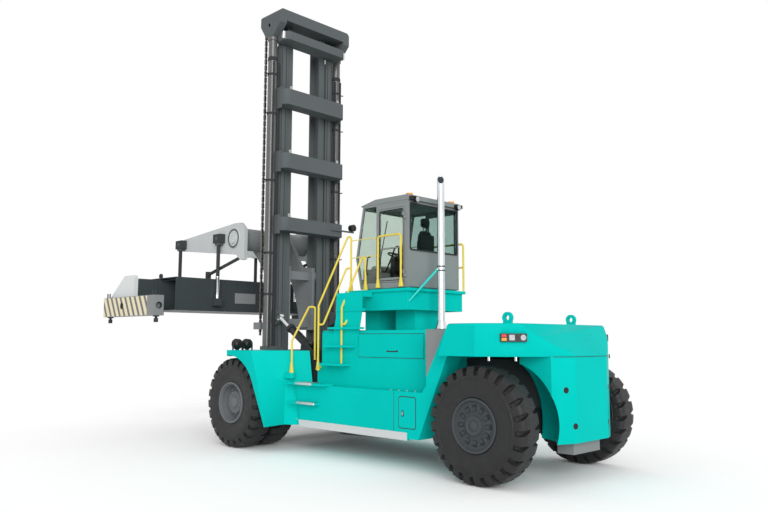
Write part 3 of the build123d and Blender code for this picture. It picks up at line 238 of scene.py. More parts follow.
class Shader:
    """A node material with its grain, made round the Principled shader."""

    def __init__(self, name, **sockets):
        self.material = bpy.data.materials.new(name)
        self.material.use_nodes = True
        self.tree = self.material.node_tree
        self.surface = self.tree.nodes["Principled BSDF"]
        for socket, value in sockets.items():
            self.surface.inputs[socket.replace("_", " ")].default_value = value
        self.place = self.node("ShaderNodeTexCoord").outputs["Object"]
        self.tint = None

    def node(self, kind, inputs=None, **settings):
        """A node with its settings, and values or links for its inputs."""
        made = self.tree.nodes.new(kind)
        for key, value in settings.items():
            setattr(made, key, value)
        for key, value in (inputs or {}).items():
            if isinstance(value, bpy.types.NodeSocket):
                self.tree.links.new(value, made.inputs[key])
            else:
                made.inputs[key].default_value = value
        return made

    def noise(self, scale, detail=3.0, stretch=(1, 1, 1)):
        """Noise between 0 and 1 over the object's own coordinates."""
        place = self.place
        if stretch != (1, 1, 1):
            place = self.node("ShaderNodeMapping", {"Vector": place, "Scale": stretch}).outputs["Vector"]
        return self.node("ShaderNodeTexNoise", {"Vector": place, "Scale": scale,
                                                "Detail": detail}).outputs["Fac"]

    def spread(self, value, low, high, start=0.3, end=0.7):
        """Value between start and end spread over low to high."""
        return self.node("ShaderNodeMapRange", {"Value": value, "From Min": start, "From Max": end,
                                                "To Min": low, "To Max": high}).outputs["Result"]

    def wave(self, scale, direction, distortion=0.0):
        """Ribs across one axis."""
        made = self.node("ShaderNodeTexWave", {"Vector": self.place, "Scale": scale,
                                               "Distortion": distortion},
                         bands_direction=direction)
        return made.outputs["Fac"]

    def maths(self, operation, a, b):
        """One sum of two values."""
        return self.node("ShaderNodeMath", {0: a, 1: b}, operation=operation).outputs["Value"]

    def axis(self, name):
        """One coordinate of the object's own space."""
        return self.node("ShaderNodeSeparateXYZ", {"Vector": self.place}).outputs[name]

    def beyond(self, value, limit):
        """1 where a value is over a limit."""
        return self.maths("GREATER_THAN", value, limit)

    def below(self, value, limit):
        """1 where a value is under a limit."""
        return self.maths("LESS_THAN", value, limit)

    def between(self, value, low, high):
        """1 where a value lies between two limits."""
        return self.both(self.beyond(value, low), self.below(value, high))

    def both(self, *masks):
        """1 where every mask is."""
        total = masks[0]
        for mask in masks[1:]:
            total = self.maths("MULTIPLY", total, mask)
        return total

    def mix(self, mask, first, second):
        """Colour that goes from the first to the second with a mask."""
        made = self.node("ShaderNodeMix", {"Factor": mask}, data_type="RGBA")
        for key, colour in (("A", first), ("B", second)):
            socket = next(s for s in made.inputs if s.name == key and s.type == "RGBA")
            if isinstance(colour, bpy.types.NodeSocket):
                self.tree.links.new(colour, socket)
            else:
                socket.default_value = (*colour, 1)
        return next(s for s in made.outputs if s.type == "RGBA")

    def colour(self, colour, change=0.06, scale=1.3):
        """Base colour that varies a little over the surface."""
        dark = [c * (1 - change) for c in colour]
        light = [min(c * (1 + change), 1) for c in colour]
        self.tint = self.mix(self.spread(self.noise(scale, 5), 0, 1), dark, light)
        return self

    def over(self, mask, colour):
        """Another colour where a mask is."""
        self.tint = self.mix(mask, self.tint, colour)
        return self

    def rough(self, low, high, scale=7.0):
        """Roughness that varies between two values."""
        self.tree.links.new(self.spread(self.noise(scale, 4), low, high), self.surface.inputs["Roughness"])
        return self

    def bump(self, height, distance, strength=0.4):
        """Relief from a height value."""
        made = self.node("ShaderNodeBump", {"Height": height, "Distance": distance, "Strength": strength})
        self.tree.links.new(made.outputs["Normal"], self.surface.inputs["Normal"])
        return self

    def done(self):
        """The finished material."""
        if self.tint is not None:
            self.tree.links.new(self.tint, self.surface.inputs["Base Color"])
        return self.material


def painted(name, colour, low=0.24, high=0.36, specular=0.008):
    """Sprayed paint with an orange-peel grain, and faint dust that thickens where fine noise peaks."""
    shader = Shader(name, Specular_IOR_Level=specular)
    shader.colour(colour, 0.035, 0.9).rough(low, high)
    dust = shader.spread(shader.noise(70, 8), 0, 0.05, 0.55, 0.8)
    shader.over(dust, [min(1, c * 0.7 + 0.06) for c in colour])
    return shader.bump(shader.noise(240, 2), 0.0004, 0.15)


def metal(name, colour, low, high, grain):
    """Bare metal with drawn or ground grain along one axis."""
    shader = Shader(name, Metallic=1.0)
    shader.colour(colour, 0.08, 2.5).rough(low, high, 12)
    return shader.bump(shader.noise(60, 3, grain), 0.0004, 0.3)


TEAL = (0.002, 0.58, 0.52)
GREY = (0.27, 0.28, 0.285)
PALE = (0.66, 0.68, 0.68)
MAST_GREY = (0.122, 0.136, 0.14)
SPREADER_GREY = (0.058, 0.07, 0.073)
CREAM = (0.82, 0.74, 0.52)
WHITE_GREY = (0.72, 0.74, 0.74)

SILL_FACE = box("side_box_left")[1].y - 0.005
WEDGE_TIP = (at(-4.98), 1.59)
WEDGE_LEAN = 0.53
WEDGE_LOW = 1.45
BLOCK_TOP = 0.645
REAR_PANE = box("cab_glass")[0].x + 0.03
SIDE_TINT, REAR_TINT = (0.68, 0.75, 0.7), (0.36, 0.5, 0.48)
EXHAUST_AT = (at(-4.34), 0.35)
EXHAUST_R, BORE_R, SOOT_R = 0.072, 0.0597, 0.056
CLAMP_HEIGHTS, COLLAR_LOW = (3.6, 3.68), 2.458
MOUTH_RISE = 1.4                                    # fall of the slanted mouth as a share of the radius
BRACE_CLEAR, BRACE_LOW = 0.08, 2.8                  # the brace lies past this radius and above this height
STRIPE_PITCH, STRIPE_LEAN, STRIPE_SHARE = 0.235, -0.55, 0.42
STRIPE_GREY = (0.2, 0.2, 0.2)
SPREADER_X = 3.0
END_BEAM = (2.81, 3.25)                             # lowest and highest stripe on the end beams
GUSSET_LOW = 3.262
COVER_REAR, COVER_SIDES, COVER_ENDS = 2.194, (-0.01, 0.63), (3.15, 3.43)


def side_box_paint():
    """Body paint with the pale sill strip and the grey wedge ahead of the rear hood."""
    shader = painted("side_box_paint", TEAL)
    x, y, z = (shader.axis(a) for a in "XYZ")
    out = shader.maths("ABSOLUTE", y, 0.0)
    shader.over(shader.beyond(out, SILL_FACE), PALE)
    ahead = shader.maths("ADD", x, shader.maths("MULTIPLY", z, WEDGE_LEAN))
    wedge = shader.both(shader.beyond(ahead, WEDGE_TIP[0] + WEDGE_LEAN * WEDGE_TIP[1]),
                        shader.beyond(z, WEDGE_LOW))
    return shader.over(wedge, GREY).done()


def weight_paint():
    """Body paint of the counterweight with its grey tow block."""
    shader = painted("weight_paint", TEAL)
    return shader.over(shader.below(shader.axis("Z"), BLOCK_TOP), GREY).done()


def beam_paint(side):
    """Grey of a telescopic beam with the hazard stripes on its end beam and the pale gusset above it."""
    low, high = box("telescope_" + side)
    sign = SIDES[side]
    shader = painted("beam_paint_" + side, SPREADER_GREY)
    x, y, z = (shader.axis(a) for a in "XYZ")
    out = shader.maths("MULTIPLY", y, float(sign))
    reach = high.y if sign > 0 else -low.y
    gusset = shader.both(shader.between(out, reach - 0.26, reach - 0.1), shader.beyond(z, GUSSET_LOW))
    shader.over(gusset, WHITE_GREY)
    end = shader.both(shader.beyond(out, reach - 0.24), shader.between(z, END_BEAM[0] - 0.02,
            END_BEAM[1] + 0.02))
    shader.over(end, GREY)
    slant = shader.maths("ADD", shader.maths("MULTIPLY", x, float(sign)),
                         shader.maths("MULTIPLY", z, STRIPE_LEAN))
    wave = shader.maths("FRACT", shader.maths("DIVIDE", slant, STRIPE_PITCH), 0.0)
    along = shader.maths("MULTIPLY", shader.maths("SUBTRACT", x, at(SPREADER_X)), float(sign))
    face = shader.both(shader.beyond(out, reach - 0.004), shader.between(z, *END_BEAM),
                       shader.beyond(along, -0.93))
    shader.over(face, STRIPE_GREY)
    shader.over(shader.both(face, shader.beyond(wave, STRIPE_SHARE)), CREAM)
    return shader.done()


def spreader_paint():
    """Dark grey of the spreader with the pale cover plate."""
    shader = painted("spreader_paint", SPREADER_GREY)
    x, y, z = (shader.axis(a) for a in "XYZ")
    rear = shader.below(x, at(COVER_REAR))
    cover = shader.both(rear, shader.between(z, *COVER_ENDS), shader.between(y, *COVER_SIDES))
    return shader.over(cover, GREY).done()


def exhaust_steel():
    """Bright exhaust pipe with its painted brace."""
    shader = metal("exhaust_metal", (0.66, 0.7, 0.72), 0.2, 0.3, (1, 1, 0.03))
    across = shader.maths("SUBTRACT", shader.axis("X"), EXHAUST_AT[0])
    aside = shader.maths("SUBTRACT", shader.axis("Y"), EXHAUST_AT[1])
    away = shader.maths("ADD", shader.maths("MULTIPLY", across, across),
                        shader.maths("MULTIPLY", aside, aside))
    brace = shader.both(shader.beyond(away, BRACE_CLEAR ** 2), shader.beyond(shader.axis("Z"), BRACE_LOW))
    shader.tree.links.new(shader.spread(brace, 1, 0, 0, 1), shader.surface.inputs["Metallic"])
    return shader.over(brace, TEAL).done()


def rubber_paint():
    """Tyre rubber, dusty on its faces."""
    shader = Shader("rubber", Specular_IOR_Level=0.3)
    shader.colour((0.021, 0.021, 0.022), 0.15, 5).rough(0.42, 0.62, 18)
    dust = shader.spread(shader.noise(14, 6), 0, 0.16, 0.55, 0.85)
    shader.over(dust, (0.055, 0.055, 0.055))
    return shader.bump(shader.noise(160, 4), 0.0015, 0.4).done()


def fabric():
    """Woven seat cloth."""
    shader = Shader("seat_fabric", Sheen_Weight=0.25, Specular_IOR_Level=0.15)
    shader.colour((0.03, 0.034, 0.036), 0.25, 14).rough(0.75, 0.92, 30)
    weave = shader.maths("MULTIPLY", shader.wave(130.0, "Y", 0.6), shader.wave(130.0, "Z", 0.6))
    return shader.bump(weave, 0.002, 0.6).done()


def window_glass():
    """Green-tinted window pane with faint smears, the rear one darker."""
    shader = Shader("window_glass", Transmission_Weight=1.0, IOR=1.06, Specular_IOR_Level=0.5)
    shader.colour(SIDE_TINT, 0.03, 3).rough(0.0, 0.03, 5)
    shader.over(shader.below(shader.axis("X"), REAR_PANE), REAR_TINT)
    return shader.bump(shader.noise(3, 1), 0.0003, 0.03).done()


def plastic(name, colour, low=0.4, high=0.55):
    """Moulded plastic with a fine grain."""
    shader = Shader(name, Specular_IOR_Level=0.35)
    shader.colour(colour, 0.1, 6).rough(low, high, 20)
    return shader.bump(shader.noise(350, 3), 0.0006, 0.35)


def lens(name, colour, glow=0.0):
    """Lamp lens with moulded ribs."""
    shader = Shader(name, Specular_IOR_Level=0.5, Emission_Strength=glow, Emission_Color=(*colour, 1))
    shader.colour(colour, 0.12, 20).rough(0.08, 0.2, 30)
    return shader.bump(shader.wave(45.0, "Z"), 0.002, 0.5)


# Looks by finish: colour, range of roughness, then the specular level of a paint or the grain of a metal.
# A lens has its glow after the colour
PAINTS = {
    "teal_paint": (TEAL,),
    "mast_paint": (MAST_GREY, 0.38, 0.55),
    "arm_paint": ((0.57, 0.595, 0.6), 0.35, 0.5),
    "cab_paint": ((0.27, 0.295, 0.295), 0.35, 0.5),
    "yellow_paint": ((0.88, 0.69, 0.11),),
    "frame_paint": ((0.05, 0.055, 0.058), 0.45, 0.65),
    "rim_paint": ((0.075, 0.085, 0.09), 0.4, 0.6),
    "front_rim_paint": ((0.17, 0.18, 0.19), 0.4, 0.6),
    "barrel_steel": ((0.1, 0.1, 0.098), 0.2, 0.27, 0.6),
    "carriage_paint": ((0.22, 0.232, 0.24), 0.34, 0.5, 0.2),
    "hanger_paint": ((0.06, 0.064, 0.066), 0.35, 0.5),
    "engine_iron": ((0.06, 0.06, 0.06), 0.55, 0.75),
}
METALS = {
    "rod_chrome": ((0.72, 0.73, 0.74), 0.1, 0.2, (1, 1, 0.05)),
    "bright_steel": ((0.62, 0.64, 0.65), 0.3, 0.45, (1, 0.2, 1)),
    "chain_steel": ((0.2, 0.19, 0.18), 0.35, 0.55, (1, 1, 1)),
}
PLASTICS = {
    "dash_plastic": ((0.035, 0.037, 0.04),),
    "trim_plastic": ((0.52, 0.48, 0.48),),
    "black_plastic": ((0.012, 0.012, 0.013), 0.3, 0.45),
    "soot": ((0.05, 0.06, 0.07), 0.7, 0.9),
    "seal_rubber": ((0.02, 0.021, 0.022), 0.6, 0.75),
}
LENSES = {
    "amber_lens": ((0.9, 0.36, 0.02),),
    "red_lens": ((0.7, 0.03, 0.03),),
    "clear_lens": ((0.5, 0.52, 0.53), 0.04),
}
FINISHES = {
    "side_box_paint": side_box_paint(),
    "weight_paint": weight_paint(),
    "spreader_paint": spreader_paint(),
    "beam_paint_left": beam_paint("left"),
    "beam_paint_right": beam_paint("right"),
    "rubber": rubber_paint(),
    "exhaust_metal": exhaust_steel(),
    "glass": window_glass(),
    "seat_fabric": fabric(),
}
for make, looks in ((painted, PAINTS), (metal, METALS), (plastic, PLASTICS), (lens, LENSES)):
    FINISHES.update({name: make(name, *look).done() for name, look in looks.items()})

# CAD nodes by finish, those of both sides without the side
NODES = {
    "teal_paint": "mid_hood rear_hood platform fender stair",
    "weight_paint": "counterweight",
    "side_box_paint": "side_box",
    "frame_paint": "frame drive_axle steer_axle knuckle",
    "engine_iron": "engine",
    "exhaust_metal": "exhaust",
    "yellow_paint": "rails",
    "cab_paint": "cab_shell cab_roof cab_door",
    "glass": "cab_glass door_glass",
    "seat_fabric": "seat",
    "dash_plastic": "console",
    "black_plastic": "lamps mast_lamp tilt_barrel",
    "amber_lens": "beacons",
    "mast_paint": "outer_mast mast_beams inner_mast",
    "barrel_steel": "lift_cylinders",
    "rod_chrome": "lift_rods tilt_rod",
    "chain_steel": "lift_chains",
    "carriage_paint": "carriage",
    "arm_paint": "spreader_arms",
    "hanger_paint": "hangers",
    "spreader_paint": "spreader",
    "beam_paint_left": "telescope_left",
    "beam_paint_right": "telescope_right",
    "rubber": "front_tyres rear_tyre",
    "front_rim_paint": "front_rims",
    "rim_paint": "rear_rim",
}

# Width of the broken edges of CAD nodes, other painted nodes take EDGE
EDGE = 0.007
EDGES = {"counterweight": 0.05, "rear_hood": 0.02, "mid_hood": 0.012, "rails": 0.006, "cab_roof": 0.02,
         "spreader": 0.01, "inner_mast": 0.006}
SHARP = ("glass", "rod_chrome", "rubber", "barrel_steel", "chain_steel", "exhaust_metal", "seat_fabric",
         "amber_lens")


def soften(node, width):
    """Breaks the sharp edges of a CAD node."""
    weld = node.modifiers.new("weld", "WELD")
    weld.merge_threshold = 0.00002
    bevel = node.modifiers.new("edges", "BEVEL")
    bevel.width = width
    bevel.segments = 2
    bevel.limit_method = "ANGLE"
    bevel.angle_limit = math.radians(38)
    bevel.use_clamp_overlap = True
    bevel.harden_normals = True


def finish_nodes():
    """Material of every CAD node, and broken edges on those with sharp ones."""
    finishes = {node: finish for finish, nodes in NODES.items() for node in nodes.split()}
    for name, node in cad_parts.items():
        finish = finishes.get(name) or finishes[name.rsplit("_", 1)[0]]
        node.data.materials.clear()
        node.data.materials.append(FINISHES[finish])
        if finish not in SHARP:
            soften(node, EDGES.get(name, EDGE))


# Wheels

TYRE_HALF = (box("rear_tyre_left")[1].y - box("rear_tyre_left")[0].y) / 2
RIB_RISE = 0.004
LUGS = 24
LUG_OFFSET, LUG_SLANT = 0.25, 1.2                   # pitches, and pitches for each metre from the shoulder
GROOVE_SLOPE = 0.014                                # share of a lug's pitch taken by a groove's wall

# Half section of a tyre from its bead to the middle of its tread, as depths from its side and its tread.
# The tread's rows add the groove's depth from the side and from the tread, and its half width in pitches
TYRE_SIDE = ((0.040, 0.512), (0.020, 0.490), (0.026, 0.462), (0.014, 0.400), (0.004, 0.330), (0.000, 0.250),
             (0.003, 0.212), (-RIB_RISE, 0.205), (-0.003, 0.188), (0.006, 0.180), (0.009, 0.150))
TYRE_TREAD = [
    (0.010, 0.146, 0.036, 0, 0.17), (0.022, 0.075, 0.046, 0.035, 0.18), (0.050, 0.022, 0.020, 0.070, 0.18),
    (0.072, 0.006, 0, 0.075, 0.17), (0.140, 0.000, 0, 0.062, 0.11), (0.185, 0.000, 0, 0.040, 0.06),
    (0.193, 0.000, 0, 0, 0.06),
]
TYRE_ROWS = [(s, t, 0, 0, 0.17) for s, t in TYRE_SIDE] + TYRE_TREAD


def tyre(form, place_y, node):
    """Tyre round a node's axle: ribbed sides, and slanted grooves between the lugs of both shoulders."""
    low, high = box(node)
    middle = (low + high) / 2
    radius = (high.z - low.z) / 2
    half = TYRE_HALF - RIB_RISE
    rows = []
    for end in (1, -1):
        side = [(end * (half - s), radius - t, end * a, b, w, end) for s, t, a, b, w in TYRE_ROWS]
        rows += side if end > 0 else side[::-1]
    rings = []
    for lug in range(LUGS):
        for column in range(7):
            sunk = column in (3, 4)
            ring = []
            for y, r, pull_y, pull_r, width, end in rows:
                cuts = (-0.5, -0.3, -width - GROOVE_SLOPE, -width + GROOVE_SLOPE, width - GROOVE_SLOPE,
                        width + GROOVE_SLOPE, 0.3)
                share = cuts[column] + end * (LUG_OFFSET + LUG_SLANT * (abs(y) - half))
                turn = (lug + share) * math.tau / LUGS
                reach = r - pull_r * sunk
                ring.append((middle.x + reach * math.cos(turn), place_y + y - pull_y * sunk,
                             middle.z + reach * math.sin(turn)))
            rings.append(ring)
    form.skin(rings, loop=True)


def tyres():
    """Detailed tyres in place of the plain ones."""
    for side in SIDES:
        for group, body in (("front_tyres", "front_wheels"), ("rear_tyre", "rear_wheel")):
            node = f"{group}_{side}"
            low, high = box(node)
            form = Form()
            for y in {round(low.y + TYRE_HALF, 4), round(high.y - TYRE_HALF, 4)}:
                tyre(form, y, node)
            piece(f"{node}_tread", form, f"{body}_{side}", "rubber", [node], 32)


# Wheels: node of the tyres, body, finish, depth of the disc, then radius, count and size of the nuts
WHEELS = (
    ("rear", "rear_tyre", "rear_wheel", "rim_paint", 0.06, 0.262, 12, 0.026),
    ("front", "front_tyres", "front_wheels", "front_rim_paint", 0.24, 0.318, 20, 0.02),
)


def wheel_fittings():
    """Lock rings, nuts and hub covers of the wheels that show."""
    for side, sign in SIDES.items():
        out = Vector((0, sign, 0))
        for group, node, body, finish, disc_back, nut_ring, nuts, nut_r in WHEELS:
            low, high = box(f"{node}_{side}")
            middle = (low + high) / 2
            edge = high.y if sign > 0 else low.y
            axle = Vector((middle.x, edge, middle.z))
            form = Form()
            rim = facing(axle - out * 0.012, out)
            form.hoop([(0.392, -0.02), (0.425, -0.02), (0.432, -0.004), (0.424, 0.008), (0.404, 0.008),
                       (0.392, 0)], rim, 64)
            form.hoop([(0.372, -0.05), (0.393, -0.05), (0.393, -0.03), (0.378, -0.03)], rim, 64)
            face = facing(axle - out * disc_back, out)
            form.hoop([(nut_ring - 0.055, -0.002), (nut_ring + 0.055, -0.002), (nut_ring + 0.05, 0.008),
                       (nut_ring - 0.05, 0.008)], face, 48)
            for u, v in ring_points(nut_ring, nuts):
                form.nut(face @ shift(u, v, 0.008), nut_r, 0.034)
            if group == "rear":
                hub = face @ shift(0, 0, 0.04)
                form.hoop([(0.095, 0), (0.152, 0), (0.152, 0.012), (0.142, 0.02), (0.11, 0.012),
                           (0.095, 0.012)], hub, 40)
                form.lathe([(0.075, 0), (0.075, 0.016), (0.06, 0.026), (0.02, 0.03)], hub, 32)
                pockets = Form()
                for u, v in ring_points(nut_ring + 0.012, nuts):
                    pocket = face @ shift(u, v, 0.002) @ Matrix.Rotation(math.atan2(v, u), 4, "Z")
                    pockets.prism(rounded(0.105, 0.085, 0.02), pocket, 0.009, 0.002)
                piece(f"rear_rim_pockets_{side}", pockets, f"{body}_{side}", "black_plastic")
            else:
                hub = facing(axle - out * 0.13, out)
                form.hoop([(0.15, 0), (0.228, 0), (0.222, 0.012), (0.156, 0.012)], hub, 48)
                for u, v in ring_points(0.19, 12):
                    form.nut(hub @ shift(u, v, 0.012), 0.014, 0.018)
                form.lathe([(0.1, 0.03), (0.1, 0.04), (0.07, 0.05), (0.02, 0.054)], hub, 32)
            piece(f"{group}_wheel_fittings_{side}", form, f"{body}_{side}", finish)


# Mast

LINK_PITCH = 0.0762
LINK_HALF = 0.026
LINK_T = 0.0085
PIN_R = 0.0095
INNER_LEAVES = (-0.0105, 0.0105)
OUTER_LEAVES = (-0.021, 0.0, 0.021)


def chains():
    """Leaf chains with their pins in place of the plain bars."""
    low, high = box("lift_chains")
    x = (low.x + high.x) / 2
    form = Form()
    links = int((high.z - low.z) / LINK_PITCH) - 1
    half = LINK_PITCH / 2
    waist = LINK_HALF * 0.8
    turns = [k * math.pi / 5 for k in range(6)]
    upper = [(LINK_HALF * math.cos(t), half + LINK_HALF * math.sin(t)) for t in turns]
    outline = upper + [(-waist, 0.0)] + [(-u, -v) for u, v in upper] + [(waist, 0.0)]
    for sign in SIDES.values():
        y = sign * (high.y - (high.y + low.y) / 2 - LINK_HALF - 0.004)
        for k in range(links):
            z = high.z - (k + 0.7) * LINK_PITCH
            for offset in (OUTER_LEAVES if k % 2 else INNER_LEAVES):
                form.prism(outline, facing((x, y + offset - LINK_T / 2, z), (0, 1, 0)), LINK_T)
            form.lathe([(PIN_R, -0.029), (PIN_R, 0.029)], facing((x, y, z - half), (0, 1, 0)), 8)
    piece("lift_chain_links", form, "inner_mast", "chain_steel", ["lift_chains"], 30)


BEAM_TOPS = {8.11: 0.37, 6.58: 0.36, 5.07: 0.31}     # upper face and height of each crossbeam
BEAM_REAR, BEAM_HALF = at(-0.15), 0.93
PEG_HEIGHTS = (8.5, 7.55, 5.95, 4.25, 3.3)
LIFT_PLACE = (at(0.3), 1.0)
CROSS_PIN, CHAIN_END = (0.34, 9.72), (at(-0.03), 0.93, 9.42)


def crosshead_fittings():
    """Pins of the crosshead, chain anchors and the sleeves over the lift rods."""
    side_y = box("inner_mast")[1].y
    tip, barrel_top = box("lift_rods")[1].z, box("lift_cylinders")[1].z
    bright, sleeves = Form(), Form()
    for sign in SIDES.values():
        side = outside(sign, CROSS_PIN[0], side_y - 0.002, CROSS_PIN[1])
        bright.prism(rounded(0.05, 0.11, 0.024), side @ Matrix.Rotation(0.5, 4, "Z"), 0.002, 0.001)
        anchor = Vector((CHAIN_END[0], sign * CHAIN_END[1], CHAIN_END[2]))
        bright.block(anchor - Vector((0.04, 0.045, 0.1)), anchor + Vector((0.04, 0.045, 0.09)), 0.012)
        rod = shift(LIFT_PLACE[0], sign * LIFT_PLACE[1], 0)
        foot, head = barrel_top + 0.03, tip - 0.01
        sleeves.hoop([(0.083, foot), (0.104, foot), (0.104, tip - 0.09), (0.125, tip - 0.085),
                      (0.125, head), (0.083, head)], rod, 40)
    piece("crosshead_pins", bright, "inner_mast", "bright_steel")
    piece("rod_sleeves", sleeves, "inner_mast", "barrel_steel")


def mast_fittings():
    """End plates and eyes of the crossbeams, seams of the columns, hose pegs, pipes and cylinder glands."""
    plates, seams, eyes, pegs = Form(), Form(), Form(), Form()
    for sign in SIDES.values():
        for top, height in BEAM_TOPS.items():
            y = sign * (BEAM_HALF - 0.012)
            plates.slab((0.03, 0.222), (y - 0.016, y + 0.016), (top - height - 0.07, top + 0.07), 0.006)
            eye = facing((BEAM_REAR + 0.09, sign * 0.73, top + 0.035), (-1, 0, 0))
            plates.prism(rounded(0.1, 0.14, 0.045), eye, 0.02, 0.004)
            eyes.band(0.016, 0.036, 0.018, 0.026, eye @ shift(0, 0.02, 0), 20)
        for y in (0.655, 0.775):
            seams.slab((0.214, 0.222), (sign * (y - 0.008), sign * (y + 0.008)), (2.1, 9.28), 0.003)
        rod = shift(LIFT_PLACE[0], sign * LIFT_PLACE[1], 0)
        top = box("lift_cylinders")[1].z
        gland = [(0.084, -0.07), (0.114, -0.07), (0.119, -0.02), (0.114, 0.02), (0.084, 0.02)]
        pegs.hoop(gland, rod @ shift(0, 0, top), 40)
        for u, v, radius in ((-0.118, 0.05, 0.022), (-0.09, -0.1, 0.026)):
            foot = Vector((LIFT_PLACE[0] + u, sign * (LIFT_PLACE[1] + v), 0))
            pegs.tube([foot + Vector((0, 0, z)) for z in (2.1, 4.0, 6.0, top - 0.1)], radius)
        for z in PEG_HEIGHTS:
            pegs.band(0.108, 0.118, z - 0.025, z + 0.025, rod, 36)
            pegs.tube([(LIFT_PLACE[0], sign * 1.1, z), (LIFT_PLACE[0] - 0.02, sign * 1.24, z + 0.02)],
                      0.013)
    piece("mast_plates", plates, "mast", "mast_paint")
    piece("mast_seams", seams, "mast", "frame_paint")
    piece("mast_eyes", eyes, "mast", "bright_steel")
    piece("lift_cylinder_glands", pegs, "mast", "frame_paint")

    low, high = box("mast_lamp")
    lamp = Form()
    middle = (low + high) / 2
    front = facing((high.x - 0.012, middle.y, middle.z), (1, 0, 0))
    lamp.lathe([(0.07, 0), (0.07, 0.006), (0.04, 0.012)], front, 32)
    piece("mast_lamp_lens", lamp, "mast", "clear_lens")


TILT_FOOT, TILT_RUN = (at(-1.03), 2.14), (1.0, 0, 0.64)     # x and z of the rear pin, and the way forward


def tilt_fittings():
    """Gland, band and pipe of the tilt cylinders."""
    for side in SIDES:
        form = Form()
        axis = facing((TILT_FOOT[0], centre("tilt_barrel_" + side).y, TILT_FOOT[1]), TILT_RUN)
        form.hoop([(0.054, 0.66), (0.096, 0.66), (0.1, 0.67), (0.1, 0.73), (0.094, 0.742), (0.054, 0.742)],
                  axis, 40)
        form.band(0.08, 0.094, 0.09, 0.13, axis, 40)
        pipe = [axis @ Vector((0, y, z)) for y, z in ((0.07, 0.15), (0.1, 0.16), (0.1, 0.62), (0.07, 0.64))]
        form.tube(bent(pipe, 0.02), 0.013)
        for z in (0.3, 0.5):
            form.block(axis @ Vector((-0.02, 0.07, z)), axis @ Vector((0.02, 0.118, z + 0.03)), 0.004)
        piece("tilt_gland_" + side, form, "tilt_barrel_" + side, "frame_paint")


# Body

# Plan of a fender: y, front end, rear end of the top, rear end of the foot
FENDER_PLAN = (
    (2.2, 0.1, -0.77, -1.285), (2.13, 0.21, -0.825, -1.27), (2.03, 0.26, -0.895, -1.25),
    (1.6, 0.26, -1.19, -1.15), (1.5, 0.26, -1.26, -1.35), (1.21, 0.26, -1.47, -1.72),
)
FENDER_TOP, FENDER_LOW = 2.042, 0.535
FENDER_EDGE = 0.035
ARCH_R, ARCH_PINCH, ARCH_TURN = 1.0, 0.045, math.radians(63)


def fenders():
    """Front fenders: an arch close round the tyre that runs out straight, and a twisted wall behind it."""
    axle_z = centre("front_tyres_left").z
    for side, sign in SIDES.items():
        rings = []
        for y, front, rear_top, rear_low in FENDER_PLAN:
            ring = [(front, FENDER_TOP)]
            for k in range(11):
                t = k / 10
                belly = 0.04 * math.sin(math.pi * t) if y > 2 else 0
                ring.append((rear_top + (rear_low - rear_top) * t - belly,
                             FENDER_TOP + (FENDER_LOW - FENDER_TOP) * t))
            start = -math.asin(front / ARCH_R)
            toe = rear_low + 0.012
            for k in range(21):
                turn = ARCH_TURN + (start - ARCH_TURN) * k / 20
                r = ARCH_R - ARCH_PINCH * max(turn, 0) / ARCH_TURN
                if k == 0:
                    ring.append((toe if y > 2 else max(toe, -1.2), FENDER_LOW))
                ring.append((-r * math.sin(turn), axle_z + r * math.cos(turn)))
            rings.append([(at(x), sign * y, z) for x, z in ring])
        form = Form()
        form.skin(rings)
        form.slab((-1.44, -1.16), (sign * 1.55, sign * 1.65), (1.47, 1.6), 0.015)
        form.slab((-1.44, -1.13), (sign * 0.94, sign * 1.23), (0.7, 1.25), 0.01)
        wing = piece("fender_shell_" + side, form, "chassis", "teal_paint",
                     ["fender_" + side], 30)
        soften(wing, FENDER_EDGE)


# Outer face of the side boxes, and x and z of what is set into the sides
BOX_FACE = 1.55
LID, LID_GRIP, FUEL_DOOR = (-3.75, 2.165), (-3.82, 2.065), (-4.56, 1.01)

# Holes of the counterweight as y and z
PLUGS = ((0.69, 1.49), (0.53, 0.92), (-0.63, 1.49), (-0.55, 0.91))


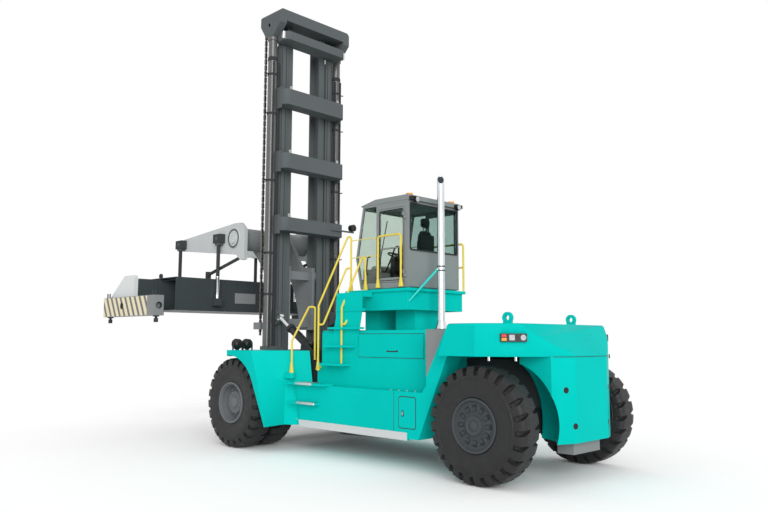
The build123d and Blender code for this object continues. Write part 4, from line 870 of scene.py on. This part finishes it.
def panels():
    """Hood lids, handles, fuel doors and seams of both sides."""
    hood = box("mid_hood")[1].y
    lids, gaps, bright = Form(), Form(), Form()
    for sign in SIDES.values():
        lid = outside(sign, LID[0], hood - 0.004, LID[1])
        lids.prism(rounded(1.7, 0.44, 0.02), lid, 0.016, 0.005)
        gaps.prism(rounded(1.72, 0.46, 0.02), lid, 0.006)
        grip = outside(sign, LID_GRIP[0], hood + 0.008, LID_GRIP[1])
        gaps.prism(rounded(0.3, 0.036, 0.017), grip, 0.006, 0.002)
        lids.prism(rounded(0.22, 0.014, 0.006), grip @ shift(0, 0.012, 0), 0.016, 0.003)
        door = outside(sign, FUEL_DOOR[0], BOX_FACE - 0.004, FUEL_DOOR[1])
        gaps.prism(rounded(0.42, 0.56, 0.05), door, 0.006)
        lids.prism(rounded(0.39, 0.53, 0.04), door, 0.012, 0.004)
        latch = door @ shift(-sign * 0.1, -0.02, 0.01)
        gaps.prism(rounded(0.05, 0.11, 0.02), latch, 0.006, 0.002)
        bright.prism(rounded(0.02, 0.07, 0.008), latch, 0.012, 0.003)
        gaps.slab((-4.242, -4.232), (sign * (BOX_FACE - 0.004), sign * (BOX_FACE + 0.002)), (0.68, 1.366),
                  0.001)
        for k in range(9):
            x = at(-1.5 - 0.37 * k)
            bright.nut(shift(x, sign * 1.559, 0.665), 0.009, 0.01)
        for k in range(5):
            bright.nut(shift(at(-4.0 - 0.2 * k), sign * 1.38, 1.368), 0.012, 0.012)
        for x in (-6.45, -6.82):
            y = 1.7 if x > -6.6 else 1.5
            bright.slab((x - 0.02, x + 0.02), (sign * (y - 0.01), sign * (y + 0.01)), (1.95, 2.025), 0.006)
    piece("body_lids", lids, "chassis", "teal_paint")
    piece("body_gaps", gaps, "chassis", "seal_rubber")
    piece("body_bolts", bright, "chassis", "bright_steel")


def hood_gap():
    """Dark joint between the rear hood and the counterweight, drawn along the weight's upper edge."""
    level = box("counterweight")[1].z
    points = []
    for k in range(37):
        y = 0.9 - 0.05 * k
        spots = (rear_face("rear_hood", y, level + 0.025), rear_face("counterweight", y, level - 0.06))
        point, normal = min(spots, key=lambda spot: spot[0].x)
        out = Vector((normal.x, normal.y, 0)).normalized()
        points.append(Vector((point.x, point.y, level - 0.004)) - out * 0.002)
    form = Form()
    form.tube(points, 0.0065, 8)
    piece("hood_gap", form, "chassis", "seal_rubber")


def weight_plugs():
    """Holes of the counterweight with their rims."""
    form = Form()
    for y, z in PLUGS:
        point, normal = rear_face("counterweight", y, z)
        place = facing(point - normal * 0.004, normal)
        form.hoop([(0.03, 0), (0.05, 0), (0.05, 0.005), (0.044, 0.008), (0.034, 0.006), (0.03, 0.002)],
                  place, 32)
        form.lathe([(0.032, 0), (0.032, 0.0045)], place, 32)
    piece("weight_plugs", form, "chassis", "black_plastic")


def exhaust_fittings():
    """Soot inside the mouth, clamps and the collar on the hood."""
    top = box("exhaust")[1].z
    x, y = EXHAUST_AT
    mouth = Form()
    sections = []
    floor = top - 0.5
    for u, v in ring_points(1, 48):
        high = top - MOUTH_RISE * (1 - math.sqrt(0.5) * (u - v) * 0.8) * EXHAUST_R - 0.004
        section = ((BORE_R, floor), (BORE_R, high), (SOOT_R, high), (SOOT_R, floor))
        sections.append([(x + r * u, y + r * v, z) for r, z in section])
    mouth.skin(sections, loop=True)
    mouth.lathe([(0.058, -0.5), (0.058, -0.48), (0.05, -0.475)], shift(x, y, top), 32)
    piece("exhaust_soot", mouth, "chassis", "soot")
    form = Form()
    for z in CLAMP_HEIGHTS:
        form.band(0.072, 0.08, -0.014, 0.014, shift(x, y, z), 40)
    form.hoop([(0.12, 0), (0.17, 0), (0.17, 0.012), (0.135, 0.03), (0.12, 0.03)], shift(x, y, COLLAR_LOW),
              40)
    for u, v in ring_points(0.152, 6):
        form.nut(shift(x + u, y + v, COLLAR_LOW + 0.012), 0.012, 0.014)
    piece("exhaust_clamps", form, "chassis", "mast_paint")


# Treads: upper face, front end, rear end, inner and outer side
GRATINGS = ((1.03, -1.63, -2.2, 1.56, 1.69), (1.41, -1.6, -2.1, 1.44, 1.69))
STRIPS = ((1.8, -2.02, -2.68, 1.2, 1.39), (2.16, -2.05, -2.84, 1.19, 1.31),
          (2.52, -2.15, -3.03, 1.19, 1.27))


def bars(form, sign, tread, pitch, half, low, high, edge):
    """Bars across a tread at about a pitch, between two levels about its upper face."""
    top, front, rear, inner, outer = tread
    count = int((front - rear) / pitch)
    for k in range(count):
        x = rear + (k + 0.5) * (front - rear) / count
        form.slab((x - half, x + half), (sign * inner, sign * outer), (top + low, top + high), edge)


def treads():
    """Gratings on the lower treads and anti-slip strips on the others."""
    bright, dark = Form(), Form()
    for sign in SIDES.values():
        for tread in GRATINGS:
            top, front, rear, _, outer = tread
            nose = (sign * (outer - 0.012), sign * (outer + 0.003))
            bright.slab((rear, front), nose, (top - 0.04, top + 0.012), 0.003)
            bars(bright, sign, tread, 0.035, 0.004, -0.004, 0.01, 0.001)
        for tread in STRIPS:
            bars(dark, sign, tread, 0.05, 0.012, -0.003, 0.004, 0.0015)
    piece("tread_gratings", bright, "chassis", "bright_steel")
    piece("tread_strips", dark, "chassis", "teal_paint")


def flared_foot(form, x, y, z, height):
    """Foot of a rail that widens downwards."""
    sections = ((-0.005, 0.05, 0.028), (0.02, 0.05, 0.028), (height * 0.6, 0.03, 0.026),
                (height, 0.023, 0.023))
    rings = []
    for level, half_x, half_y in sections:
        rings.append([(at(x) + u * half_x, y + v * half_y, z + level) for u, v in rounded(2, 2, 0.6)])
    form.skin(rings)


def rail_feet():
    """Flared feet of the hand rails."""
    form = Form()
    feet = ((-2.325, 0.84, 3.27, 0.2), (-2.755, 0.84, 3.27, 0.2), (-1.79, 1.25, 1.66, 0.16),
            (-1.38, 1.61, 1.6, 0.2))
    for sign in SIDES.values():
        for x, y, z, height in feet:
            flared_foot(form, x, sign * y, z, height)
    piece("rail_feet", form, "chassis", "yellow_paint")


# Cab

def frame_strip(form, place, width, height, strip, depth):
    """Round-cornered frame of a window in a place's plane."""
    outer = rounded(width, height, 0.05)
    inner = rounded(width - 2 * strip, height - 2 * strip, 0.05 - strip / 2)
    form.surround(outer, inner, depth, 0, place)


# Side outline of the cab as (x, z), and the heights and ends of its windows and door
CAB_SIDE = ((-2.54, 3.29), (-3.87, 3.29), (-3.87, 5.0), (-2.6, 5.0), (-2.395, 3.93))
CAB_HALF, CAB_WALL = 0.77, 0.045
SIDE_PLANE = Matrix(((1, 0, 0, FRONT_X), (0, 0, 1, 0), (0, 1, 0, 0), (0, 0, 0, 1)))    # from (x, z, y)
DOOR_ENDS, DOOR_HEIGHTS, DOOR_RAIL = (-3.764, -3.046), (3.406, 4.874), 4.08
WAIST, LINTEL, POST_HEIGHTS = 4.03, 4.94, (3.3, 4.98)
GLASS_T = 0.01
HOOP_ENDS, HOOP_Y, HOOP_TOP, HOOP_R = (-3.73, -3.1), 0.83, 4.33, 0.021
HINGE_HEIGHTS, HINGE_X, HINGE_Y = (3.56, 4.7), -3.77, 0.786
FENDER_LAMPS = (1.62, 1.88)


def crossing(p, d, q, e):
    """Point where two lines meet, each from a point in a direction."""
    return p + d * ((q - p).cross(e) / d.cross(e))


def inset(outline, depth):
    """Outline of a convex shape with every side moved inwards."""
    points = [Vector(p) for p in outline]
    middle = sum(points, Vector((0, 0))) / len(points)
    lines = []
    for a, b in zip(points, points[1:] + points[:1]):
        normal = Vector((a.y - b.y, b.x - a.x)).normalized()
        normal = normal if normal.dot(middle - a) > 0 else -normal
        lines.append((a + normal * depth, b - a))
    corners = []
    for (p, d), (q, e) in zip(lines[-1:] + lines[:-1], lines):
        corners.append(crossing(p, d, q, e))
    return corners


def front_pane(outer, low, high):
    """Ends of the windscreen's section between two heights, a depth inside the cab's front."""
    foot, _, _, head, bend = inset(CAB_SIDE, outer)
    ends = []
    for z in (low, bend.y, high):
        corner = foot if z < bend.y else head
        ends.append((bend.x + (corner.x - bend.x) * (z - bend.y) / (corner.y - bend.y), z))
    return ends


def cab():
    """Cab with slim posts: side frames, rear wall, sill of the windscreen, floor, trim and panes."""
    inner = CAB_HALF - CAB_WALL
    shell, panes, trim = Form(), Form(), Form()
    for sign in SIDES.values():
        side = (sign * (inner + 0.003), sign * (CAB_HALF - 0.003))
        pane = (sign * (inner + 0.017), sign * (inner + 0.017 + GLASS_T))
        shell.surround(CAB_SIDE, inset(CAB_SIDE, 0.04), sign * CAB_HALF, sign * inner, SIDE_PLANE)
        for post in ((-3.04, -2.985), (-3.86, -3.77)):
            shell.slab(post, side, POST_HEIGHTS)
        shell.slab((-3.8, -2.99), (side[0], side[1] - sign * 0.001), (4.88, 4.975))
        shell.slab((-3.8, -2.56), (side[0], side[1] - sign * 0.002), (3.305, 3.4))
        outline = [(-2.99, 3.38), (-2.99, 4.97)] + [tuple(p) for p in front_pane(0.035, 3.38, 4.97)][::-1]
        panes.skin([[(at(x), y, z) for x, z in outline] for y in pane])
        shell.slab((-3.866, -3.821), (sign * 0.71, sign * 0.764), POST_HEIGHTS)
        for z in HINGE_HEIGHTS:
            shell.tube([(at(HINGE_X), sign * HINGE_Y, end) for end in (z - 0.07, z + 0.07)], 0.008)
            leaf = (sign * (CAB_HALF - 0.002), sign * 0.794)
            shell.slab((-3.83, -3.762), leaf, (z - 0.07, z - 0.005), 0.003)
    shell.slab((-3.8, -3.0), (-CAB_HALF + 0.005, -inner - 0.005), (3.35, WAIST))
    panes.slab((-3.78, -3.03), (-inner - 0.017, -inner - 0.027), (WAIST - 0.02, LINTEL), 0.001)
    rear = (-3.863, -3.825)
    shell.slab(rear, (-0.72, 0.72), (3.3, WAIST))
    shell.slab(rear, (-0.72, 0.72), (LINTEL, 4.98))
    panes.slab((-3.853, -3.843), (-0.715, 0.715), (WAIST - 0.02, LINTEL + 0.02), 0.001)
    shell.slab((-3.84, -2.6), (-inner - 0.01, inner + 0.01), (3.29, 3.335))
    shell.slab((-3.67, -2.84), (-0.5, 0.5), (3.265, 3.3))
    shell.slab((-3.84, -2.62), (-inner - 0.01, inner + 0.01), (4.985, 5.0), 0.002)
    for low, high in ((3.3, 3.5), (4.92, 4.98)):
        section = front_pane(0.002, low, high)[::2] + front_pane(0.047, low, high)[::-2]
        shell.skin([[(at(x), y, z) for x, z in section] for y in (-0.74, 0.74)])
    glass = front_pane(0.017, 3.48, 4.95)
    section = glass + front_pane(0.017 + GLASS_T, 3.48, 4.95)[::-1]
    panes.skin([[(at(x), y, z) for x, z in section] for y in (-0.735, 0.735)])
    trim.slab((-3.0, -2.5), (-inner + 0.002, -inner + 0.03), (3.335, 3.98), 0.01)
    trim.slab((-2.62, -2.52), (-inner + 0.02, inner - 0.02), (3.335, 3.72), 0.03)
    trim.slab((-2.72, -2.5), (-0.6, 0.45), (3.7, 3.8), 0.03)
    trim.slab((-3.8, -2.98), (-inner + 0.002, -inner + 0.02), (3.335, WAIST - 0.02), 0.008)
    trim.slab((-3.823, -3.805), (-0.68, 0.68), (3.335, WAIST - 0.02), 0.006)
    piece("cab_frame", shell, "chassis", "cab_paint", ["cab_shell"])
    piece("cab_panes", panes, "chassis", "glass", ["cab_glass"])
    piece("cab_trim", trim, "chassis", "trim_plastic")


def cab_door():
    """Glazed door with a slim frame, a mid rail, hinge leaves and the yellow hoop."""
    inner = CAB_HALF - CAB_WALL
    (rear, front), (low, high) = DOOR_ENDS, DOOR_HEIGHTS
    leaf, panes, hoop = Form(), Form(), Form()
    outer = [(rear, low), (front, low), (front, high), (rear, high)]
    leaf.surround(outer, inset(outer, 0.034), CAB_HALF, inner, SIDE_PLANE)
    leaf.slab((rear + 0.02, front - 0.02), (inner + 0.004, CAB_HALF - 0.004),
              (DOOR_RAIL - 0.014, DOOR_RAIL + 0.014))
    leaf.slab((rear + 0.02, front - 0.02), (inner + 0.004, CAB_HALF - 0.004), (low + 0.02, low + 0.09))
    panes.slab((rear + 0.025, front - 0.025), (inner + 0.017, inner + 0.017 + GLASS_T),
               (low + 0.025, high - 0.025), 0.001)
    for z in HINGE_HEIGHTS:
        leaf.slab((rear, rear + 0.055), (CAB_HALF - 0.002, HINGE_Y), (z, z + 0.07), 0.003)
        leaf.band(0.009, 0.014, 0, 0.07, shift(at(HINGE_X), HINGE_Y, z), 20)
    foot = 3.3
    corners = [(HOOP_ENDS[0], foot), (HOOP_ENDS[0], HOOP_TOP), (HOOP_ENDS[1], HOOP_TOP),
               (HOOP_ENDS[1], foot)]
    hoop.tube(bent([(at(x), HOOP_Y, z) for x, z in corners], 0.07), HOOP_R, 14)
    for x in HOOP_ENDS:
        for z in (3.46, 4.2):
            leaf.slab((x - 0.012, x + 0.012), (CAB_HALF - 0.002, HOOP_Y), (z - 0.012, z + 0.012), 0.003)
        flared_foot(hoop, x, HOOP_Y, foot + 0.005, 0.16)
    piece("door_frame", leaf, "door", "cab_paint", ["cab_door"])
    piece("door_pane", panes, "door", "glass", ["door_glass"])
    piece("door_hoop", hoop, "door", "yellow_paint")


def cab_fittings():
    """Window seals, handles, wiper, and the lamps of the cab and the fenders."""
    rear_x = box("cab_shell")[0].x
    seals = Form()
    behind = facing((rear_x + 0.005, 0, 4.48), (-1, 0, 0))
    frame_strip(seals, behind, 1.46, 0.94, 0.028, 0.016)
    right = outside(-1, -3.405, CAB_HALF - 0.002, 4.485)
    frame_strip(seals, right, 0.75, 0.93, 0.022, 0.008)
    wiper = Form()
    wiper.tube([(at(-2.5), 0.1, 3.44), (at(-2.375), 0.08, 3.95), (at(-2.4), 0.05, 4.02)], 0.009)
    wiper.tube([(at(-2.385), 0.05, 3.95), (at(-2.475), 0.03, 4.4), (at(-2.555), 0.01, 4.8)], 0.01)
    grab = bent([(at(-2.76), 0.772, 3.6), (at(-2.76), 0.83, 3.6), (at(-2.81), 0.83, 3.94),
                 (at(-2.81), 0.772, 3.94)], 0.03)
    wiper.tube(grab, 0.014)
    piece("cab_seals", seals, "chassis", "seal_rubber")
    piece("cab_handles", wiper, "chassis", "black_plastic")

    door = Form()
    (rear, front), (low, high) = DOOR_ENDS, DOOR_HEIGHTS
    middle = outside(1, (rear + front) / 2, CAB_HALF - 0.006, (low + high) / 2)
    frame_strip(door, middle, front - rear - 0.05, high - low - 0.05, 0.016, 0.008)
    grip = outside(1, -3.1, CAB_HALF - 0.002, 3.83)
    door.prism(rounded(0.05, 0.16, 0.02), grip, 0.014, 0.004)
    handle = [grip @ Vector((0, v, w)) for v, w in ((-0.05, 0.01), (-0.05, 0.04), (0.06, 0.04))]
    door.tube(bent(handle, 0.015), 0.01)
    bar = [(at(-3.2), 0.715, 3.62), (at(-3.36), 0.7, 3.9), (at(-3.45), 0.7, 4.1), (at(-3.55), 0.7, 4.12),
           (at(-3.56), 0.715, 3.9)]
    door.tube(bent(bar, 0.06), 0.016)
    piece("door_fittings", door, "door", "seal_rubber")

    lamps, lenses = Form(), Form()
    for sign in SIDES.values():
        spot = facing((rear_x - 0.06, sign * 0.64, 5.0), (-1, 0, 0))
        lamps.lathe([(0.03, -0.01), (0.055, 0), (0.062, 0.05), (0.062, 0.075), (0.054, 0.075)], spot, 32)
        lenses.lathe([(0.053, 0.06), (0.053, 0.077), (0.03, 0.082)], spot, 32)
        for y in FENDER_LAMPS:
            place = facing((at(0.14), sign * y, 2.17), (-1, 0, 0))
            lamps.lathe([(0.108, -0.01), (0.1, 0.02), (0.075, 0.045), (0.03, 0.055)], place, 32)
            lamps.band(0.104, 0.116, -0.1, -0.085, place, 40)
            lenses.lathe([(0.1, -0.104), (0.1, -0.101), (0.05, -0.1)], place, 32)
            for cheek in (-1, 1):
                lamps.slab((0.15, 0.2), (sign * (y + cheek * 0.112), sign * (y + cheek * 0.125)),
                           (2.04, 2.2))
    piece("lamp_housings", lamps, "chassis", "black_plastic")
    piece("lamp_lenses", lenses, "chassis", "clear_lens")


HOOD_CURVE = ((-6.25, 1.8), (-6.882, 1.243), (-7.28, 0.5))    # x and y along the rear hood's side
CLUSTER_SHARE, CLUSTER_Z, CLUSTER_RISE = 0.36, 2.32, 0.045    # share of the curve, height and rise


def rear_curve():
    """Place and outward direction of a lamp cluster on the rear hood's left curve."""
    a, b, c = (Vector((at(x), y)) for x, y in HOOD_CURVE)
    middle = crossing((a + b) / 2, (b - a).orthogonal(), (b + c) / 2, (c - b).orthogonal())
    start, end = ((p - middle) for p in (a, c))
    turn = start.angle_signed(end) * -CLUSTER_SHARE
    spoke = Matrix.Rotation(turn, 2) @ start
    return middle + spoke, spoke.normalized()


def rear_lamps():
    """Lenses of the lamp clusters in the rear hood."""
    spot, out = rear_curve()
    red, amber, clear = Form(), Form(), Form()
    for sign in SIDES.values():
        normal = Vector((out.x, out.y * sign, 0))
        place = facing(Vector((spot.x, spot.y * sign, CLUSTER_Z)) + normal * CLUSTER_RISE, normal)
        for form, u, width, height, v in ((red, -0.155, 0.085, 0.05, 0.028),
                                          (amber, -0.155, 0.085, 0.045, -0.028),
                                          (clear, -0.03, 0.09, 0.09, 0.0)):
            form.prism(rounded(width, height, 0.012), place @ shift(u * sign, v, -0.002), 0.012, 0.004)
        clear.lathe([(0.045, 0), (0.045, 0.012), (0.02, 0.02)], place @ shift(0.15 * sign, 0, -0.002), 28)
    for name, form in (("red", red), ("amber", amber), ("clear", clear)):
        piece(f"rear_lens_{name}", form, "chassis", name + "_lens")


# Spreader

HANGER_PLACES = (2.1, 3.9)
BOSS = (1.55, 4.7)                                  # x and z of the arms' boss
LOCK_REACH, BEAM_REACH = 1.1295, 1.244              # from the middle to the twistlocks and the ends


def spreader_fittings():
    """Sleeves and pins of the hangers, boss bolts, twistlock guides and hole rims."""
    sleeves = Form()
    for sign in SIDES.values():
        for x in HANGER_PLACES:
            sleeves.lathe([(0.046, 3.255), (0.046, 3.74), (0.05, 3.745), (0.05, 3.8)],
                          shift(at(x), sign * 1.2, 0), 24)
        boss = outside(sign, BOSS[0], 1.168, BOSS[1])
        for u, v in ring_points(0.085, 6):
            sleeves.nut(boss @ shift(u, v, 0), 0.016, 0.02)
    piece("hanger_sleeves", sleeves, "carriage", "rod_chrome")
    pins = Form()
    for sign in SIDES.values():
        boss = outside(sign, BOSS[0], 1.14, BOSS[1])
        pins.hoop([(0.19, -0.002), (0.232, -0.002), (0.226, 0.012), (0.196, 0.012)], boss, 56)
        for x in HANGER_PLACES:
            for y in (1.115, 1.265):
                pins.nut(outside(sign, x, y + 0.004, 4.73), 0.035, 0.02)
            pins.slab((x - 0.1, x + 0.1), (sign * 1.13, sign * 1.25), (4.57, 4.63), 0.01)
    piece("hanger_pins", pins, "carriage", "mast_paint")
    for side, sign in SIDES.items():
        low, high = box("telescope_" + side)
        face = (high.y if sign > 0 else -low.y) - 0.006
        form = Form()
        hole = outside(sign, SPREADER_X + sign * 0.3, face, 3.05)
        form.band(0.07, 0.08, -0.08, 0.005, hole, 36)
        for end in (1, -1):
            tip = facing((at(SPREADER_X + end * BEAM_REACH), sign * (face - 0.123), 3.03), (end, 0, 0))
            form.band(0.068, 0.08, -0.08, 0.005, tip, 36)
            x = at(SPREADER_X + end * LOCK_REACH)
            for dx in (-0.06, 0.06):
                form.lathe([(0.016, 3.255), (0.016, 3.36), (0.012, 3.37)],
                           shift(x + dx, sign * (face - 0.06), 0), 14)
            form.hoop([(0.032, 2.775), (0.07, 2.775), (0.075, 2.802), (0.032, 2.802)],
                      shift(x, sign * (face - 0.1225), 0), 32)
        piece("end_beam_rings_" + side, form, "telescope_" + side, "spreader_paint")


# Seat

SEAT_VOXEL = 0.009
SWELL_FRAMES = 20


def pad_form(outline, place, thickness):
    """Rounded pad over an outline in a place's XY plane."""
    form = Form()
    rings = []
    for k in range(-4, 5):
        t = k / 4.0
        scale = 1 - 0.16 * abs(t) ** 4
        rings.append([place @ Vector((u * scale, v * scale, t * thickness / 2)) for u, v in outline])
    form.skin(rings)
    return form


def swell(obj, cap):
    """Pad remeshed and blown up by cloth pressure, no point further than the cap."""
    remesh = obj.modifiers.new("remesh", "REMESH")
    remesh.mode = "VOXEL"
    remesh.voxel_size = SEAT_VOXEL
    fine = bpy.data.meshes.new_from_object(obj.evaluated_get(bpy.context.evaluated_depsgraph_get()))
    obj.modifiers.clear()
    obj.data = fine
    rest = [v.co.copy() for v in fine.vertices]
    cloth = obj.modifiers.new("swell", "CLOTH")
    cloth.settings.use_pressure = True
    cloth.settings.uniform_pressure_force = 4
    cloth.settings.effector_weights.gravity = 0
    for step in range(1, SWELL_FRAMES + 1):
        scene.frame_set(step)
    blown = obj.evaluated_get(bpy.context.evaluated_depsgraph_get()).data
    moves = [v.co - r for v, r in zip(blown.vertices, rest)]
    obj.modifiers.clear()
    scene.frame_set(1)
    for vertex, start, move in zip(fine.vertices, rest, moves):
        vertex.co = start + move * min(1, cap / max(move.length, 1e-9))


def sew(obj, seams, depth=0.014, width=0.014):
    """Sewn channels: each seam is an axis, a place on it, and the way in which the cloth is pulled."""
    for vertex in obj.data.vertices:
        for axis, value, pull in seams:
            gap = vertex.co[axis] - value
            if abs(gap) < 4 * width and vertex.normal.dot(Vector(pull)) < -0.3:
                vertex.co += Vector(pull) * depth * math.exp(-(gap / width) ** 2)


def seat():
    """Driver's seat: soft cushion, back and headrest on a hard pedestal."""
    floor = box("seat")[0].z
    hard = Form()
    hard.slab((-3.52, -3.18), (-0.17, 0.17), (floor, floor + 0.06), 0.01)
    for k in range(4):
        z = floor + 0.06 + 0.06 * k
        hard.slab((-3.5, -3.2), (-0.15, 0.15), (z, z + 0.045), 0.02)
        hard.slab((-3.48, -3.22), (-0.13, 0.13), (z + 0.04, z + 0.065), 0.004)
    hard.slab((-3.58, -3.12), (-0.22, 0.22), (floor + 0.3, floor + 0.352), 0.012)
    hard.slab((-3.7, -3.67), (-0.2, 0.2), (floor + 0.34, floor + 1.05), 0.01)
    for sign in SIDES.values():
        hard.tube(bent([(at(-3.66), sign * 0.29, floor + 0.62), (at(-3.36), sign * 0.29, floor + 0.66),
                        (at(-3.3), sign * 0.29, floor + 0.66)], 0.03), 0.03)
        hard.tube([(at(-3.66), sign * 0.2, floor + 0.62), (at(-3.66), sign * 0.3, floor + 0.62)], 0.02)
        hard.tube([(at(-3.62), sign * 0.05, floor + 1.08), (at(-3.62), sign * 0.05, floor + 1.24)], 0.008)
    piece("seat_frame", hard, "chassis", "dash_plastic")

    back_outline = [(0.2, -0.37), (0.24, -0.2), (0.235, 0.1), (0.2, 0.27), (0.14, 0.36), (0, 0.38)]
    back_outline = back_outline + [(-u, v) for u, v in back_outline[-2::-1]]
    pads = {
        "seat_cushion": (rounded(0.48, 0.48, 0.09), shift(at(-3.34), 0, floor + 0.425), 0.115),
        "seat_back": (back_outline, facing((at(-3.62), 0, floor + 0.78), (1, 0, 0)), 0.09),
        "seat_headrest": (rounded(0.25, 0.19, 0.07), facing((at(-3.62), 0, floor + 1.3), (1, 0, 0)), 0.07),
    }
    seams = {
        "seat_cushion": [(1, 0.13, (0, 0, -1)), (1, -0.13, (0, 0, -1)), (0, at(-3.3), (0, 0, -1))],
        "seat_back": [(1, 0.12, (-1, 0, 0)), (1, -0.12, (-1, 0, 0)), (2, floor + 0.95, (-1, 0, 0))],
        "seat_headrest": [(2, floor + 1.3, (-1, 0, 0))],
    }
    for name, (outline, place, thickness) in pads.items():
        obj = piece(name, pad_form(outline, place, thickness), "chassis", "seat_fabric")
        swell(obj, 0.014)
        sew(obj, seams[name])
        obj.data.shade_smooth()
        if not obj.data.materials:
            obj.data.materials.append(FINISHES["seat_fabric"])
        smooth = obj.modifiers.new("smooth", "SUBSURF")
        smooth.levels = smooth.render_levels = 1
        if name == "seat_cushion":
            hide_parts("seat")


# Stage, light and camera

FLOOR_R = 30.0
FADE_START, FADE_END = 9.0, 17.0
SKY = 0.62
KEY = 1.8
KEY_FROM = (-0.75, 0.6, 0.26)
FLOOR_GREY, FLOOR_WHITE = 0.92, 1.36                # floor as it lights the object, and as it is seen
CAMERA_AT = (at(-13.521), 11.201, 2.3032)
CAMERA_YAW, CAMERA_PITCH, CAMERA_ROLL = -0.7912, 0.1108, 0.003
FOCAL_SHARE = 739.74 / 768


def seen_directly(tree):
    """1 for rays from the camera, and for those that metal and glass send on."""
    path = tree.nodes.new("ShaderNodeLightPath")
    seen = path.outputs["Is Camera Ray"]
    for ray in ("Is Glossy Ray", "Is Transmission Ray"):
        total = tree.nodes.new("ShaderNodeMath")
        total.operation = "MAXIMUM"
        tree.links.new(seen, total.inputs[0])
        tree.links.new(path.outputs[ray], total.inputs[1])
        seen = total.outputs[0]
    return seen


def stage():
    """Pale floor that fades into the white surround."""
    mesh = bpy.data.meshes.new("floor")
    mesh.from_pydata([(u, v, 0) for u, v in ring_points(FLOOR_R, 64)], [], [tuple(range(64))])
    floor = bpy.data.objects.new("floor", mesh)
    scene.collection.objects.link(floor)
    shader = Shader("floor_paint", Specular_IOR_Level=0.0)
    shader.rough(0.7, 0.85, 2)
    seen = seen_directly(shader.tree)
    tone = shader.node("ShaderNodeMapRange", {"Value": seen, "To Min": FLOOR_GREY,
                                              "To Max": FLOOR_WHITE}).outputs["Result"]
    shader.tint = shader.maths("MULTIPLY", tone, shader.spread(shader.noise(0.4, 5), 0.985, 1.0))
    far = shader.node("ShaderNodeVectorMath", {0: shader.place}, operation="LENGTH").outputs["Value"]
    fade = shader.spread(far, 1.0, 0.0, FADE_START, FADE_END)
    shader.tree.links.new(fade, shader.surface.inputs["Alpha"])
    mesh.materials.append(shader.bump(shader.noise(60, 2), 0.0005, 0.1).done())


def light():
    """Even white surround and a soft key from the upper left."""
    world = bpy.data.worlds.new("surround")
    scene.world = world
    world.use_nodes = True
    tree = world.node_tree
    back = tree.nodes["Background"]
    seen = seen_directly(tree)
    level = tree.nodes.new("ShaderNodeMapRange")
    level.inputs["To Min"].default_value = SKY
    level.inputs["To Max"].default_value = 1.0
    tree.links.new(seen, level.inputs["Value"])
    tree.links.new(level.outputs["Result"], back.inputs["Strength"])
    back.inputs["Color"].default_value = (1, 1, 1, 1)
    key = bpy.data.lights.new("key", "SUN")
    key.energy = KEY
    key.angle = math.radians(40)
    lamp = bpy.data.objects.new("key", key)
    lamp.rotation_euler = Vector(KEY_FROM).to_track_quat("Z", "Y").to_euler()
    scene.collection.objects.link(lamp)


def camera():
    """Camera at the photograph's place and angle."""
    data = bpy.data.cameras.new("camera")
    data.sensor_fit = "HORIZONTAL"
    data.sensor_width = 36
    data.lens = data.sensor_width * FOCAL_SHARE
    data.clip_end = 200
    view = bpy.data.objects.new("camera", data)
    turn = Euler((math.pi / 2 + CAMERA_PITCH, 0, CAMERA_YAW - math.pi / 2)).to_matrix()
    view.matrix_world = shift(*CAMERA_AT) @ (turn @ Matrix.Rotation(CAMERA_ROLL, 3, "Z")).to_4x4()
    scene.collection.objects.link(view)
    scene.camera = view


finish_nodes()
tyres()
wheel_fittings()
chains()
crosshead_fittings()
mast_fittings()
tilt_fittings()
fenders()
panels()
hood_gap()
weight_plugs()
exhaust_fittings()
treads()
rail_feet()
cab()
cab_door()
cab_fittings()
rear_lamps()
spreader_fittings()
seat()
stage()
light()
camera()
scene.view_settings.view_transform = "Standard"
